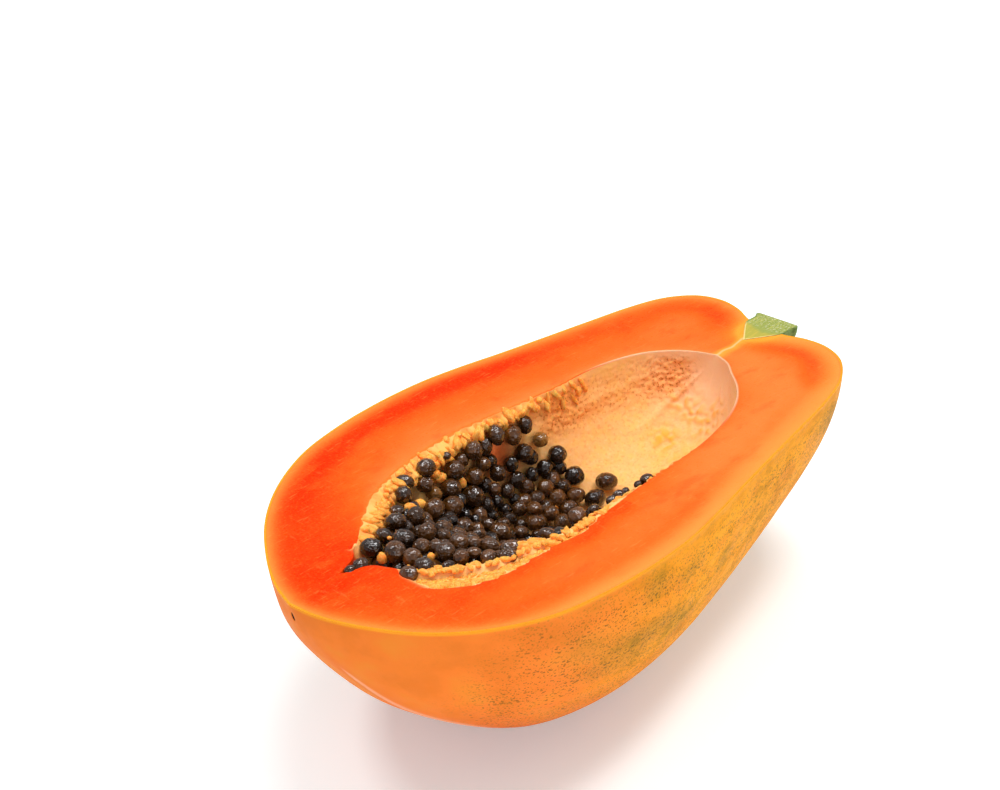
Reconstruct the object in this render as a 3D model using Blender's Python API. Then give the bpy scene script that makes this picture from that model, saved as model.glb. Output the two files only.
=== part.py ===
"""Half a ripe papaya, cut lengthwise: the fruit with its seed hollow, the heap of seeds and the stem stub.

The cut face looks up and the fruit lies on its belly. +X runs along the fruit from the blossom tip to
the stem, +Z is up, and the origin is under the middle of the whole, on the surface it lies on.
Shapes are worked out in millimetres from the blossom tip, with heights measured from the cut face,
and placed in metres by place().
"""
import math
import random

import bmesh
import bpy
import numpy as np

MM = 0.001

# Fruit outline, from the blossom tip to the stem root: place along the fruit, half width, depth
FRUIT_STATIONS = (
    (0.0, 0.0, 0.0),
    (3.0, 13.0, 13.5),
    (10.0, 28.5, 29.0),
    (22.0, 46.5, 46.0),
    (38.0, 61.5, 60.0),
    (58.0, 72.5, 73.5),
    (78.0, 77.5, 83.5),
    (100.0, 79.5, 88.5),
    (121.0, 78.8, 89.5),
    (141.0, 75.5, 88.0),
    (162.0, 70.5, 84.0),
    (182.0, 66.0, 77.5),
    (204.0, 61.3, 68.5),
    (224.0, 57.0, 58.5),
    (241.0, 51.0, 49.0),
    (252.5, 41.5, 39.5),
    (257.0, 30.0, 29.0),
    (256.0, 19.0, 18.0),
    (252.5, 10.0, 9.5),
    (251.5, 0.0, 0.0),
)
# Seed hollow: place along the fruit, half width on the far side (+Y), on the near side (-Y), depth
HOLLOW_STATIONS = (
    (22.5, 0.0, 0.0, 0.0),
    (27.0, 1.8, 1.8, 3.0),
    (31.0, 3.2, 3.0, 6.0),
    (34.0, 5.5, 5.5, 12.0),
    (36.0, 8.0, 10.0, 17.0),
    (41.0, 11.5, 20.5, 24.0),
    (50.0, 20.0, 28.0, 31.0),
    (62.0, 29.0, 36.0, 37.0),
    (78.0, 35.3, 39.5, 42.0),
    (97.0, 39.0, 42.8, 45.0),
    (115.0, 39.8, 42.6, 46.5),
    (130.0, 38.0, 42.0, 46.5),
    (147.0, 35.5, 41.2, 45.5),
    (165.0, 33.3, 39.8, 43.0),
    (182.0, 32.2, 36.0, 39.0),
    (196.0, 28.8, 30.0, 33.0),
    (206.0, 24.0, 22.5, 26.0),
    (213.5, 17.0, 13.5, 18.0),
    (218.5, 9.0, 7.5, 10.0),
    (221.5, 0.0, 0.0, 0.0),
)
# Stem stub, from the point of its core in the flesh to its cut end: place along the fruit, radius
STEM_STATIONS = (
    (238.0, 0.0),
    (244.0, 4.5),
    (250.0, 8.6),
    (253.0, 9.4),
    (257.0, 9.3),
    (259.5, 10.4),
    (260.8, 9.6),
)
STEM_SIDES = 20

# The five lobes of a papaya: how far they stand out at the waist and near the two ends
LOBES = 5
WAIST_LOBE = 0.006
BLOSSOM_LOBE = 0.025
STEM_LOBE = 0.020
# The fruit grew a little lopsided: each millimetre towards the far side sits this much nearer the stem
LEAN = 0.13
# The belly's lowest part is pressed flat by this much, so that the half lies still
REST_CUT = 0.9

# Steps along the fruit and round its shapes, closer together near the rim of the hollow
CURVE_STEPS = 16
LENGTH_STEPS = 46
BELLY_STEPS = 26
HOLLOW_STEPS = 24
RIM_CROWDING = 0.10
# Sections of the hollow are rounder than a box and fuller than an ellipse, which is 2
HOLLOW_SQUARENESS = 2.2

# Swellings of the lining: pulp frills under the rim, and the low seams that run lengthwise
FRILL_HEIGHT = 4.6
FRILL_PITCH = 12.0
FRILL_ANGLE = 0.10
FRILL_SPREAD = 0.10
FRILL_FLOOR = 0.35
FRILL_WANDER = 0.37
FRILL_FADE = (135.0, 190.0)
FRILL_LOST = 0.8
FRILL_EDGE = 0.05
SEAM_HEIGHT = 1.4
SEAM_SPREAD = 0.09
SEAM_EDGE = 0.2
NARROW_HOLLOW = (2.0, 20.0)

# Seeds: they coat the wall of the hollow in a layer, and fill it towards the blossom end
SEED_LENGTH = 7.8
SEED_WIDTH = 6.9
SEED_SIDES = 6
SEED_RINGS = 5
SEED_SPACING = 8.4
SEED_ROW_STEP = 7.3
SEED_JITTER = 0.9
SEED_SIZES = (0.94, 1.06)
SEED_START = 42.0
SEED_LIMIT = 158.0
SEED_LIMIT_SIDE = 12.0
SEED_LIMIT_BEND = 0.018
SEED_FROM_RIM = 5.6
LAYER = 7.5
FILLED_UNTIL = 55.0
OPEN_FROM = 125.0
HEAP_BELOW_RIM = 2.5
CORE_BELOW_SEEDS = 2.4
CORE_FROM_LIMIT = 4.5
CORE_EDGE_DIP = 4.0
CORE_EDGE_BACK = 14.0
CORE_EDGE = (0.84, 1.0)
CORE_GRID = 8.0
CORE_HALF_ROWS = 6
CORE_BOTTOM = -70.0
ROOM_GAP = 0.6
ROOM_TOP = 7.0
LEAST_SHRINK = 0.1
# The short file of seeds in the slit at the blossom tip: place along the fruit, side, height
SLIT_SEEDS = (
    (27.0, -0.4, -0.6),
    (31.5, -0.2, -1.0),
    (36.5, -1.2, -1.6),
    (41.0, -3.5, -2.0),
)
# Seeds half sunk in the pulp along the near rim, beyond the heap
RIM_FILE_START = 99.0
RIM_FILE_END = 137.0
RIM_FILE_STEP = 5.0
RIM_FILE_INSET = 3.4
RIM_FILE_DIP = 3.0
RIM_FILE_RISE = (106.0, 120.0)
SEED_DRAW = 7
ROW_SAMPLES = 200

STEM_GAP = 0.35


def smooth_curve(stations, count):
    """A smooth curve through the stations, read at even steps along its length."""
    knots = np.array(stations, dtype=float)
    ends = np.vstack([2 * knots[0] - knots[1], knots, 2 * knots[-1] - knots[-2]])
    pieces = []
    for a, b, c, d in zip(ends, ends[1:], ends[2:], ends[3:]):
        t = np.linspace(0.0, 1.0, CURVE_STEPS, endpoint=False)[:, None]
        turn = (2 * a - 5 * b + 4 * c - d) * t ** 2 + (3 * b - a - 3 * c + d) * t ** 3
        pieces.append(0.5 * (2 * b + (c - a) * t + turn))
    curve = np.vstack(pieces + [knots[-1:]])
    travel = np.concatenate([[0.0], np.cumsum(np.linalg.norm(np.diff(curve, axis=0), axis=1))])
    wanted = np.linspace(0.0, travel[-1], count)
    return np.stack([np.interp(wanted, travel, column) for column in curve.T], axis=1)


FRUIT_CURVE = smooth_curve(FRUIT_STATIONS, LENGTH_STEPS + 1)
HOLLOW_CURVE = smooth_curve(HOLLOW_STATIONS, LENGTH_STEPS + 1)
TOTAL_LENGTH = max(STEM_STATIONS[-1][0], float(max(FRUIT_CURVE[:, 0] + LEAN * FRUIT_CURVE[:, 1])))
FLOOR_DEPTH = max(row[2] for row in FRUIT_STATIONS) * (1 - WAIST_LOBE) - REST_CUT


def place(x, y, z):
    """Millimetres from the blossom tip and the cut face, turned into metres from the origin."""
    return ((x - TOTAL_LENGTH / 2) * MM, y * MM, (z + FLOOR_DEPTH) * MM)


def ease(value, start, end):
    """0 before start, 1 after end, with a smooth rise between them."""
    t = min(max((value - start) / (end - start), 0.0), 1.0)
    return t * t * (3 - 2 * t)


def lobe_swell(x, angle):
    """How far the skin stands out: five lobes, with the dip between two of them under the belly."""
    end_lobe = BLOSSOM_LOBE if x < TOTAL_LENGTH / 2 else STEM_LOBE
    from_end = min(x, TOTAL_LENGTH - x)
    height = end_lobe + (WAIST_LOBE - end_lobe) * ease(from_end, 0.0, TOTAL_LENGTH / 2)
    return 1 - height * math.cos(LOBES * (angle - math.pi / 2))


def skin_point(station, angle):
    """A point of the skin: angle 0 is the far rim, a half turn is the near rim."""
    x, half_width, depth = station
    swell = lobe_swell(x, angle)
    y = half_width * swell * math.cos(angle)
    return (x + LEAN * y, y, -depth * swell * math.sin(angle))


def lining_swell(x, angle):
    """Pulp frills under the rim and the low seams along the wall, in millimetres into the hollow."""
    from_rim = min(angle, math.pi - angle)
    under_rim = math.exp(-((from_rim - FRILL_ANGLE) / FRILL_SPREAD) ** 2)
    wave = 0.5 + 0.5 * math.sin(2 * math.pi * x / FRILL_PITCH + 2 * math.sin(FRILL_WANDER * x))
    fullness = FRILL_FLOOR + (1 - FRILL_FLOOR) * wave
    frills = FRILL_HEIGHT * under_rim * fullness * (1 - FRILL_LOST * ease(x, *FRILL_FADE))
    seam_off = abs((LOBES * angle / math.pi) % 1.0 - 0.5) / LOBES * math.pi
    seams = SEAM_HEIGHT * math.exp(-(seam_off / SEAM_SPREAD) ** 2)
    return frills * ease(from_rim, 0.0, FRILL_EDGE) + seams * ease(from_rim, 0.0, SEAM_EDGE)


def hollow_point(station, angle, inset=0.0):
    """A point of the hollow's wall, or of a shape that keeps the inset clear of that wall."""
    x, far, near, depth = station
    middle = (HOLLOW_STATIONS[0][0] + HOLLOW_STATIONS[-1][0]) / 2
    reach = middle - HOLLOW_STATIONS[0][0]
    side = far if angle < math.pi / 2 else near
    size = max(min(side, depth), MM)
    swell = lining_swell(x, angle) * ease(size, *NARROW_HOLLOW)
    shrink = max(1 - (swell + inset) / size, LEAST_SHRINK)
    power = 2 / HOLLOW_SQUARENESS
    across = math.copysign(abs(math.cos(angle)) ** power, math.cos(angle))
    down = math.sin(angle) ** power if 0 < angle < math.pi else 0.0
    return (middle + (x - middle) * (1 - inset / reach), side * shrink * across, -depth * shrink * down)


def hollow_at(x):
    """Half widths and depth of the hollow at a place along the fruit."""
    return [float(np.interp(x, HOLLOW_CURVE[:, 0], HOLLOW_CURVE[:, i])) for i in (1, 2, 3)]


def wall_height(x, y, inset=0.0):
    """Height of the hollow's wall, or of a shell set in from it, under a point of the cut face."""
    far, near, depth = hollow_at(x)
    side = max((far if y > 0 else near) - inset, MM)
    room = max(1 - abs(y / side) ** HOLLOW_SQUARENESS, 0.0)
    return -max(depth - inset, 0.0) * room ** (1 / HOLLOW_SQUARENESS)


def heap_height(x, y):
    """Height of the heap of seeds: level near the blossom end, a coat on the wall further on."""
    opened = ease(x, FILLED_UNTIL, OPEN_FROM)
    return -HEAP_BELOW_RIM + opened * min(wall_height(x, y, LAYER) + HEAP_BELOW_RIM, 0.0)


def heap_limit(y):
    """Where the heap ends towards the stem."""
    return SEED_LIMIT - SEED_LIMIT_BEND * (y - SEED_LIMIT_SIDE) ** 2


def plain_material(name, colour, roughness):
    """A material with one colour, for a natural, non-metal surface."""
    material = bpy.data.materials.new(name)
    material.use_nodes = True
    shader = material.node_tree.nodes["Principled BSDF"]
    shader.inputs["Base Color"].default_value = (*colour, 1.0)
    shader.inputs["Roughness"].default_value = roughness
    shader.inputs["Metallic"].default_value = 0.0
    return material


def flesh_material():
    """Ripe orange flesh and skin."""
    return plain_material("papaya_flesh", (0.90, 0.26, 0.05), 0.42)


def seed_material():
    """Near-black seeds in their wet skins."""
    return plain_material("papaya_seed", (0.025, 0.014, 0.010), 0.22)


def stem_material():
    """Pale green stem wood."""
    return plain_material("papaya_stem", (0.42, 0.46, 0.16), 0.6)


def add_object(name, shape, material):
    """Turns a bmesh into a scene object with a smooth-shaded mesh."""
    bmesh.ops.recalc_face_normals(shape, faces=shape.faces)
    mesh = bpy.data.meshes.new(name)
    shape.to_mesh(mesh)
    shape.free()
    mesh.shade_smooth()
    mesh.set_sharp_from_angle(angle=math.radians(50))
    if material:
        mesh.materials.append(material)
    piece = bpy.data.objects.new(name, mesh)
    bpy.context.collection.objects.link(piece)
    return piece


def turn_angles(steps, crowding):
    """Angles from the far rim to the near rim, closer together near both rims."""
    turns = [j / steps for j in range(steps + 1)]
    return [math.pi * (turn - crowding * math.sin(2 * math.pi * turn)) for turn in turns]


def add_bowl(shape, curve, point_at, steps, crowding=0.0):
    """A bowl under the cut face: a fan at each tip, with rows of points between them.

    Returns the rim, in order round the bowl, starting at the blossom tip.
    """
    first = shape.verts.new(place(*point_at(curve[0], 0.0)))
    last = shape.verts.new(place(*point_at(curve[-1], 0.0)))
    rows = []
    for station in curve[1:-1]:
        angles = turn_angles(steps, crowding)
        rows.append([shape.verts.new(place(*point_at(station, angle))) for angle in angles])
    for j in range(steps):
        shape.faces.new((first, rows[0][j], rows[0][j + 1]))
        shape.faces.new((last, rows[-1][j + 1], rows[-1][j]))
    for row, after in zip(rows, rows[1:]):
        for j in range(steps):
            shape.faces.new((row[j], after[j], after[j + 1], row[j + 1]))
    far_rim = [row[0] for row in rows]
    near_rim = [row[-1] for row in rows]
    return [first] + far_rim + [last] + near_rim[::-1]


def fill_open_loop(shape):
    """Closes the one hole that a straight cut has left."""
    bmesh.ops.holes_fill(shape, edges=[edge for edge in shape.edges if edge.is_boundary], sides=0)


def cut_level(shape, height, keep_above):
    """Cuts a closed shape level at a height over the cut face and caps it."""
    whole = list(shape.verts) + list(shape.edges) + list(shape.faces)
    bmesh.ops.bisect_plane(
        shape,
        geom=whole,
        plane_co=place(0, 0, height),
        plane_no=(0, 0, 1),
        clear_inner=keep_above,
        clear_outer=not keep_above,
    )
    fill_open_loop(shape)


def turned_stem(gap):
    """The stem stub as a whole turned solid round the fruit's axis, grown by a gap on all sides."""
    shape = bmesh.new()
    root = shape.verts.new(place(STEM_STATIONS[0][0] - 2 * gap, 0, 0))
    rings = []
    for x, radius in STEM_STATIONS[1:]:
        turns = [2 * math.pi * (j + 0.5) / STEM_SIDES for j in range(STEM_SIDES)]
        reach = radius + gap
        points = [place(x, reach * math.cos(turn), reach * math.sin(turn)) for turn in turns]
        rings.append([shape.verts.new(point) for point in points])
    for j in range(STEM_SIDES):
        shape.faces.new((root, rings[0][j], rings[0][j - 1]))
    for ring, after in zip(rings, rings[1:]):
        for j in range(STEM_SIDES):
            shape.faces.new((ring[j - 1], ring[j], after[j], after[j - 1]))
    shape.faces.new(rings[-1])
    bmesh.ops.recalc_face_normals(shape, faces=shape.faces)
    return shape


def build_stem():
    """The lower half of the stub, cut lengthwise with the fruit."""
    shape = turned_stem(0.0)
    cut_level(shape, 0.0, keep_above=False)
    return add_object("stem", shape, stem_material())


def build_fruit():
    """Skin, flesh and lining as one closed body, with a socket where the stem's core grows in."""
    shape = bmesh.new()
    outer_rim = add_bowl(shape, FRUIT_CURVE, skin_point, BELLY_STEPS)
    inner_rim = add_bowl(shape, HOLLOW_CURVE, hollow_point, HOLLOW_STEPS, RIM_CROWDING)
    for i, outer in enumerate(outer_rim):
        shape.faces.new((outer_rim[i - 1], outer, inner_rim[i], inner_rim[i - 1]))
    bmesh.ops.recalc_face_normals(shape, faces=shape.faces)
    cut_level(shape, -FLOOR_DEPTH, keep_above=True)
    fruit = add_object("fruit", shape, flesh_material())
    socket = add_object("stem_socket_cutter", turned_stem(STEM_GAP), None)
    combine(fruit, socket, "DIFFERENCE")
    return fruit


def combine(piece, other, operation, solver="EXACT"):
    """Applies one Boolean between two objects and removes the second."""
    step = piece.modifiers.new(operation.lower(), "BOOLEAN")
    step.operation = operation
    step.solver = solver
    step.object = other
    apply_last(piece)
    remove_objects([other])


def apply_last(piece):
    """Replaces the mesh of a piece with the result of its modifiers."""
    bpy.context.view_layer.update()
    seen = piece.evaluated_get(bpy.context.evaluated_depsgraph_get())
    result = bpy.data.meshes.new_from_object(seen)
    piece.modifiers.clear()
    piece.data = result


def remove_objects(objects):
    for piece in objects:
        bpy.data.objects.remove(piece, do_unlink=True)


def keep_largest_body(piece):
    """Drops the scraps that the trimming cut loose."""
    shape = bmesh.new()
    shape.from_mesh(piece.data)
    waiting = set(shape.verts)
    bodies = []
    while waiting:
        body = {waiting.pop()}
        edge_of_body = set(body)
        while edge_of_body:
            touched = {edge.other_vert(vertex) for vertex in edge_of_body for edge in vertex.link_edges}
            edge_of_body = touched - body
            body |= edge_of_body
        waiting -= body
        bodies.append(body)
    largest = max(bodies, key=len)
    scraps = [vertex for vertex in shape.verts if vertex not in largest]
    bmesh.ops.delete(shape, geom=scraps, context="VERTS")
    shape.to_mesh(piece.data)
    shape.free()


def seed_row(x, shift):
    """Places of the seeds across the heap at one place along the fruit, evenly spread over its surface."""
    far, near = hollow_at(x)[:2]
    across = np.linspace(-near + SEED_FROM_RIM, far - SEED_FROM_RIM, ROW_SAMPLES)
    if across[0] >= across[-1]:
        return []
    heights = np.array([heap_height(x, y) for y in across])
    travel = np.concatenate([[0.0], np.cumsum(np.hypot(np.diff(across), np.diff(heights)))])
    count = max(round(travel[-1] / SEED_SPACING), 1)
    stops = [(k + shift / 2) * travel[-1] / count for k in range(count + 1 - shift)]
    return [float(np.interp(stop, travel, across)) for stop in stops]


def seed_places():
    """Every seed's middle: rows over the heap, the file in the slit, and the file along the near rim."""
    draw = random.Random(SEED_DRAW)
    places = list(SLIT_SEEDS)
    for i, x in enumerate(np.arange(SEED_START, SEED_LIMIT, SEED_ROW_STEP)):
        for y in seed_row(x, i % 2):
            seed_x = x + draw.uniform(-SEED_JITTER, SEED_JITTER)
            seed_y = y + draw.uniform(-SEED_JITTER, SEED_JITTER)
            lift = draw.uniform(-SEED_JITTER, SEED_JITTER)
            if seed_x < heap_limit(seed_y):
                places.append((seed_x, seed_y, heap_height(seed_x, seed_y) + lift))
    for x in np.arange(RIM_FILE_START, RIM_FILE_END, RIM_FILE_STEP):
        near = hollow_at(x)[1]
        dip = RIM_FILE_DIP * (1 - ease(x, *RIM_FILE_RISE))
        places.append((float(x), RIM_FILE_INSET + dip - near, -HEAP_BELOW_RIM - dip))
    return places


def add_seed(shape, middle, draw):
    """A plump seed, a little longer than wide, turned any way about its middle."""
    tilt = draw.uniform(0, math.pi)
    turn = draw.uniform(0, 2 * math.pi)
    size = draw.uniform(*SEED_SIZES)
    long_axis = np.array([math.cos(turn) * math.cos(tilt), math.sin(turn) * math.cos(tilt), math.sin(tilt)])
    side_axis = np.cross(long_axis, (-math.sin(turn), math.cos(turn), 0.0))
    third_axis = np.cross(long_axis, side_axis)

    def seed_vertex(ring, side):
        lift = math.pi * ring / (SEED_RINGS - 1)
        around = 2 * math.pi * side / SEED_SIDES
        along = long_axis * math.cos(lift) * SEED_LENGTH / 2
        out = (side_axis * math.cos(around) + third_axis * math.sin(around)) * math.sin(lift) * SEED_WIDTH / 2
        return shape.verts.new(place(*(np.array(middle) + size * (along + out))))

    top = seed_vertex(0, 0)
    bottom = seed_vertex(SEED_RINGS - 1, 0)
    rings = [[seed_vertex(ring, side) for side in range(SEED_SIDES)] for ring in range(1, SEED_RINGS - 1)]
    for j in range(SEED_SIDES):
        shape.faces.new((top, rings[0][j - 1], rings[0][j]))
        shape.faces.new((bottom, rings[-1][j], rings[-1][j - 1]))
        for ring, after in zip(rings, rings[1:]):
            shape.faces.new((ring[j - 1], after[j - 1], after[j], ring[j]))


def core_height(x, y):
    """Top of the packed seeds: under the top layer, lower along the rims, and gone past the heap's limit."""
    far, near = hollow_at(x)[:2]
    at_far_rim = ease(y / max(far, MM), *CORE_EDGE)
    at_rim = max(at_far_rim, ease(-y / max(near, MM), *CORE_EDGE))
    if x > heap_limit(y) - CORE_FROM_LIMIT - CORE_EDGE_BACK * at_far_rim:
        return CORE_BOTTOM + CORE_GRID
    return heap_height(x, y) - CORE_BELOW_SEEDS - CORE_EDGE_DIP * at_rim


def heap_core():
    """The packed seeds under the top layer, as one block that the room then trims to the hollow."""
    shape = bmesh.new()
    xs = np.arange(HOLLOW_STATIONS[0][0], SEED_LIMIT + CORE_GRID, CORE_GRID)
    ys = CORE_GRID * np.arange(-CORE_HALF_ROWS, CORE_HALF_ROWS + 1)
    tops = []
    bottoms = []
    for x in xs:
        tops.append([])
        bottoms.append([])
        for y in ys:
            tops[-1].append(shape.verts.new(place(x, y, core_height(x, y))))
            bottoms[-1].append(shape.verts.new(place(x, y, CORE_BOTTOM)))
    for i in range(len(xs) - 1):
        for j in range(len(ys) - 1):
            shape.faces.new((tops[i][j], tops[i + 1][j], tops[i + 1][j + 1], tops[i][j + 1]))
            shape.faces.new((bottoms[i][j], bottoms[i][j + 1], bottoms[i + 1][j + 1], bottoms[i + 1][j]))
    bmesh.ops.bridge_loops(shape, edges=[edge for edge in shape.edges if edge.is_boundary])
    return add_object("seeds", shape, seed_material())


def seed_room():
    """The space the seeds may fill: the hollow, set in from its wall, and a little way above its rim."""
    shape = bmesh.new()

    def room_point(station, angle):
        return hollow_point(station, angle, ROOM_GAP)

    rim = add_bowl(shape, HOLLOW_CURVE, room_point, HOLLOW_STEPS, RIM_CROWDING)
    raised = [shape.verts.new((vertex.co.x, vertex.co.y, vertex.co.z + ROOM_TOP * MM)) for vertex in rim]
    for i, vertex in enumerate(rim):
        shape.faces.new((rim[i - 1], vertex, raised[i], raised[i - 1]))
    shape.faces.new(raised)
    return add_object("seed_room_cutter", shape, None)


def build_seeds():
    """The heap: every seed and the core joined in one union, then trimmed to the room in the hollow."""
    heap = heap_core()
    draw = random.Random(SEED_DRAW + 1)
    loose = bpy.data.collections.new("loose_seeds")
    bpy.context.scene.collection.children.link(loose)
    for i, middle in enumerate(seed_places()):
        shape = bmesh.new()
        add_seed(shape, middle, draw)
        seed = add_object(f"seed_{i:03d}", shape, None)
        bpy.context.collection.objects.unlink(seed)
        loose.objects.link(seed)
    step = heap.modifiers.new("join_seeds", "BOOLEAN")
    step.operation = "UNION"
    step.solver = "MANIFOLD"
    step.operand_type = "COLLECTION"
    step.collection = loose
    apply_last(heap)
    remove_objects(list(loose.objects))
    bpy.data.collections.remove(loose)
    combine(heap, seed_room(), "INTERSECT", "MANIFOLD")
    keep_largest_body(heap)
    return heap


def build_papaya():
    remove_objects(list(bpy.data.objects))
    build_fruit()
    build_stem()
    build_seeds()


build_papaya()
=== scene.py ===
# %% [markdown]
# Half a ripe papaya, cut lengthwise and lying on its belly.
# A papaya is a hollow berry: a thin waxy skin, a thick layer of orange flesh, a pale lining with crumbly
# pulp under its rim, and a coat of wet black seeds on that lining. The half is dressed here round the
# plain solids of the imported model, one piece of the fruit at a time, and each takes its place from them.

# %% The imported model
import math
import random

import bpy
import numpy as np
from mathutils import Matrix, Vector, noise
from mathutils.kdtree import KDTree


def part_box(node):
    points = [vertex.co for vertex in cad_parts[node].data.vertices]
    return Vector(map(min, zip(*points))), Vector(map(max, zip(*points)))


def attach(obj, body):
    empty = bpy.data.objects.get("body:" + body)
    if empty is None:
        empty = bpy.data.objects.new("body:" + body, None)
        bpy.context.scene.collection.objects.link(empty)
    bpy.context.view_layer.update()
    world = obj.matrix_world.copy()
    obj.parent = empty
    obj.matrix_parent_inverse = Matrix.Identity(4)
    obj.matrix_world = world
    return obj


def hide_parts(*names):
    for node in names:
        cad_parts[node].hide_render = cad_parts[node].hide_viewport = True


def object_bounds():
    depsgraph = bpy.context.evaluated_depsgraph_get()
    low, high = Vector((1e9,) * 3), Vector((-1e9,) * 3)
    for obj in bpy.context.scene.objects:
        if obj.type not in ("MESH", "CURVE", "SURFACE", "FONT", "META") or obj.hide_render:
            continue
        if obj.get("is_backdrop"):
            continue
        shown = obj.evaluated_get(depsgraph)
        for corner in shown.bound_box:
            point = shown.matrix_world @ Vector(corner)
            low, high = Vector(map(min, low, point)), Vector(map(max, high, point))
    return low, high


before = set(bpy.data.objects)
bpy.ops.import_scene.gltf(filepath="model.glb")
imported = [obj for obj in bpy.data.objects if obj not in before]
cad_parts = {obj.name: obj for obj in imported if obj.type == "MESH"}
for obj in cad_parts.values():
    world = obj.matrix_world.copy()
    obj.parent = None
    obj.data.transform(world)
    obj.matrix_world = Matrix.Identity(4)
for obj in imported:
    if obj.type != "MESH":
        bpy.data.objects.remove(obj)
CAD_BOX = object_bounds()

print("solids:", sorted(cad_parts))

# %% [markdown]
# Shapes are worked out in millimetres, from the blossom tip along the fruit (x), from the fruit's axis
# to the far side (y) and up from the cut face (z). The solid of the fruit says where that tip and that
# face are, so one function carries every shape into the model.

# %% Millimetres to the model
MM = 0.001
FRUIT_LOW, FRUIT_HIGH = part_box("fruit")
TIP_X = FRUIT_LOW[0]
CUT_HEIGHT = FRUIT_HIGH[2]
FLOOR_DEPTH = CUT_HEIGHT / MM
FRUIT_LENGTH = (CAD_BOX[1][0] - TIP_X) / MM


def place(points):
    """Millimetres from the blossom tip and the cut face, turned into the model's metres."""
    return np.asarray(points, dtype=float) * MM + np.array([TIP_X, 0.0, CUT_HEIGHT])


print(f"cut face {FLOOR_DEPTH:.1f} mm above the surface")

# %% [markdown]
# The photograph looks down on the cut face from the blossom end, with a long lens and a slight tilt.
# The place of the camera was found by fitting the outline of the cut face, so it is written in the
# fruit's own millimetres.

# %% Camera
CAMERA_PLACE = (-333.9, -468.6, 381.7)
CAMERA_TURN = math.radians(-43.0)
CAMERA_DROP = math.radians(28.5)
CAMERA_ROLL = math.radians(-4.59)
CAMERA_LENS = 74.4
SENSOR = 36.0
NEAREST_SEEN = 0.01
PHOTO_WIDTH, PHOTO_HEIGHT = 1000, 790
FOCAL_PIXELS = CAMERA_LENS / SENSOR * PHOTO_WIDTH


def add_object(name, data):
    """A new object in the scene, made of a mesh, a camera or a lamp."""
    made = bpy.data.objects.new(name, data)
    bpy.context.scene.collection.objects.link(made)
    return made


def camera_axes():
    """Right, up and ahead of the camera, from its turn, its drop below the horizon and its roll."""
    ahead = Vector((
        -math.sin(CAMERA_TURN) * math.cos(CAMERA_DROP),
        math.cos(CAMERA_TURN) * math.cos(CAMERA_DROP),
        -math.sin(CAMERA_DROP),
    ))
    level = Vector((math.cos(CAMERA_TURN), math.sin(CAMERA_TURN), 0.0))
    upright = level.cross(ahead)
    right = level * math.cos(CAMERA_ROLL) + upright * math.sin(CAMERA_ROLL)
    return right, right.cross(ahead), ahead


def view_turn():
    """The camera's right, up and ahead as the columns of an array."""
    return np.array(camera_axes()).T


def make_camera():
    """The camera at its place, turned towards the fruit."""
    right, above, ahead = camera_axes()
    camera = add_object("camera", bpy.data.cameras.new("camera"))
    turn = Matrix((right, above, -ahead)).transposed().to_4x4()
    camera.matrix_world = Matrix.Translation(place(CAMERA_PLACE)) @ turn
    camera.data.lens = CAMERA_LENS
    camera.data.sensor_width = SENSOR
    camera.data.clip_start = NEAREST_SEEN
    return camera


def sight_line(x, y):
    """Direction from the camera through a pixel of the photograph, in the fruit's own axes."""
    right, above, ahead = camera_axes()
    aside, down = (x - PHOTO_WIDTH / 2) / FOCAL_PIXELS, (y - PHOTO_HEIGHT / 2) / FOCAL_PIXELS
    return np.array((ahead + right * aside - above * down).normalized())


bpy.context.scene.camera = make_camera()
print("camera at", [round(value, 3) for value in bpy.context.scene.camera.location])

# %% [markdown]
# The half is drawn from the same stations as its solid: half widths and depths along the fruit, joined
# by one smooth curve. Here the curve is read at many more places, so the skin comes out round.

# %% Outlines of the fruit
# Skin: place along the fruit, half width, depth
SKIN_STATIONS = (
    (0.0, 0.0, 0.0),
    (3.0, 13.0, 13.5),
    (10.0, 28.5, 29.0),
    (22.0, 46.5, 46.0),
    (38.0, 61.5, 60.0),
    (58.0, 72.5, 73.5),
    (78.0, 77.5, 83.5),
    (100.0, 79.5, 88.5),
    (121.0, 78.8, 89.5),
    (141.0, 75.5, 88.0),
    (162.0, 70.5, 84.0),
    (182.0, 66.0, 77.5),
    (204.0, 61.3, 68.5),
    (224.0, 57.0, 58.5),
    (241.0, 51.0, 49.0),
    (252.5, 41.5, 39.5),
    (257.0, 30.0, 29.0),
    (256.0, 19.0, 18.0),
    (252.5, 10.0, 9.5),
    (251.5, 0.0, 0.0),
)
# Hollow: place along the fruit, half width on the far side, on the near side, depth
HOLLOW_STATIONS = (
    (22.5, 0.0, 0.0, 0.0),
    (27.0, 1.8, 1.8, 3.0),
    (31.0, 3.2, 3.0, 6.0),
    (34.0, 5.5, 5.5, 12.0),
    (36.0, 8.0, 10.0, 17.0),
    (41.0, 11.5, 20.5, 24.0),
    (50.0, 20.0, 28.0, 31.0),
    (62.0, 29.0, 36.0, 37.0),
    (78.0, 35.3, 39.5, 42.0),
    (97.0, 39.0, 42.8, 45.0),
    (115.0, 39.8, 42.6, 46.5),
    (130.0, 38.0, 42.0, 46.5),
    (147.0, 35.5, 41.2, 45.5),
    (165.0, 33.3, 39.8, 43.0),
    (182.0, 32.2, 36.0, 39.0),
    (196.0, 28.8, 30.0, 33.0),
    (206.0, 24.0, 22.5, 26.0),
    (213.5, 17.0, 13.5, 18.0),
    (218.5, 9.0, 7.5, 10.0),
    (221.5, 0.0, 0.0, 0.0),
)
CURVE_STEPS = 24
ROWS = 400


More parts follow.
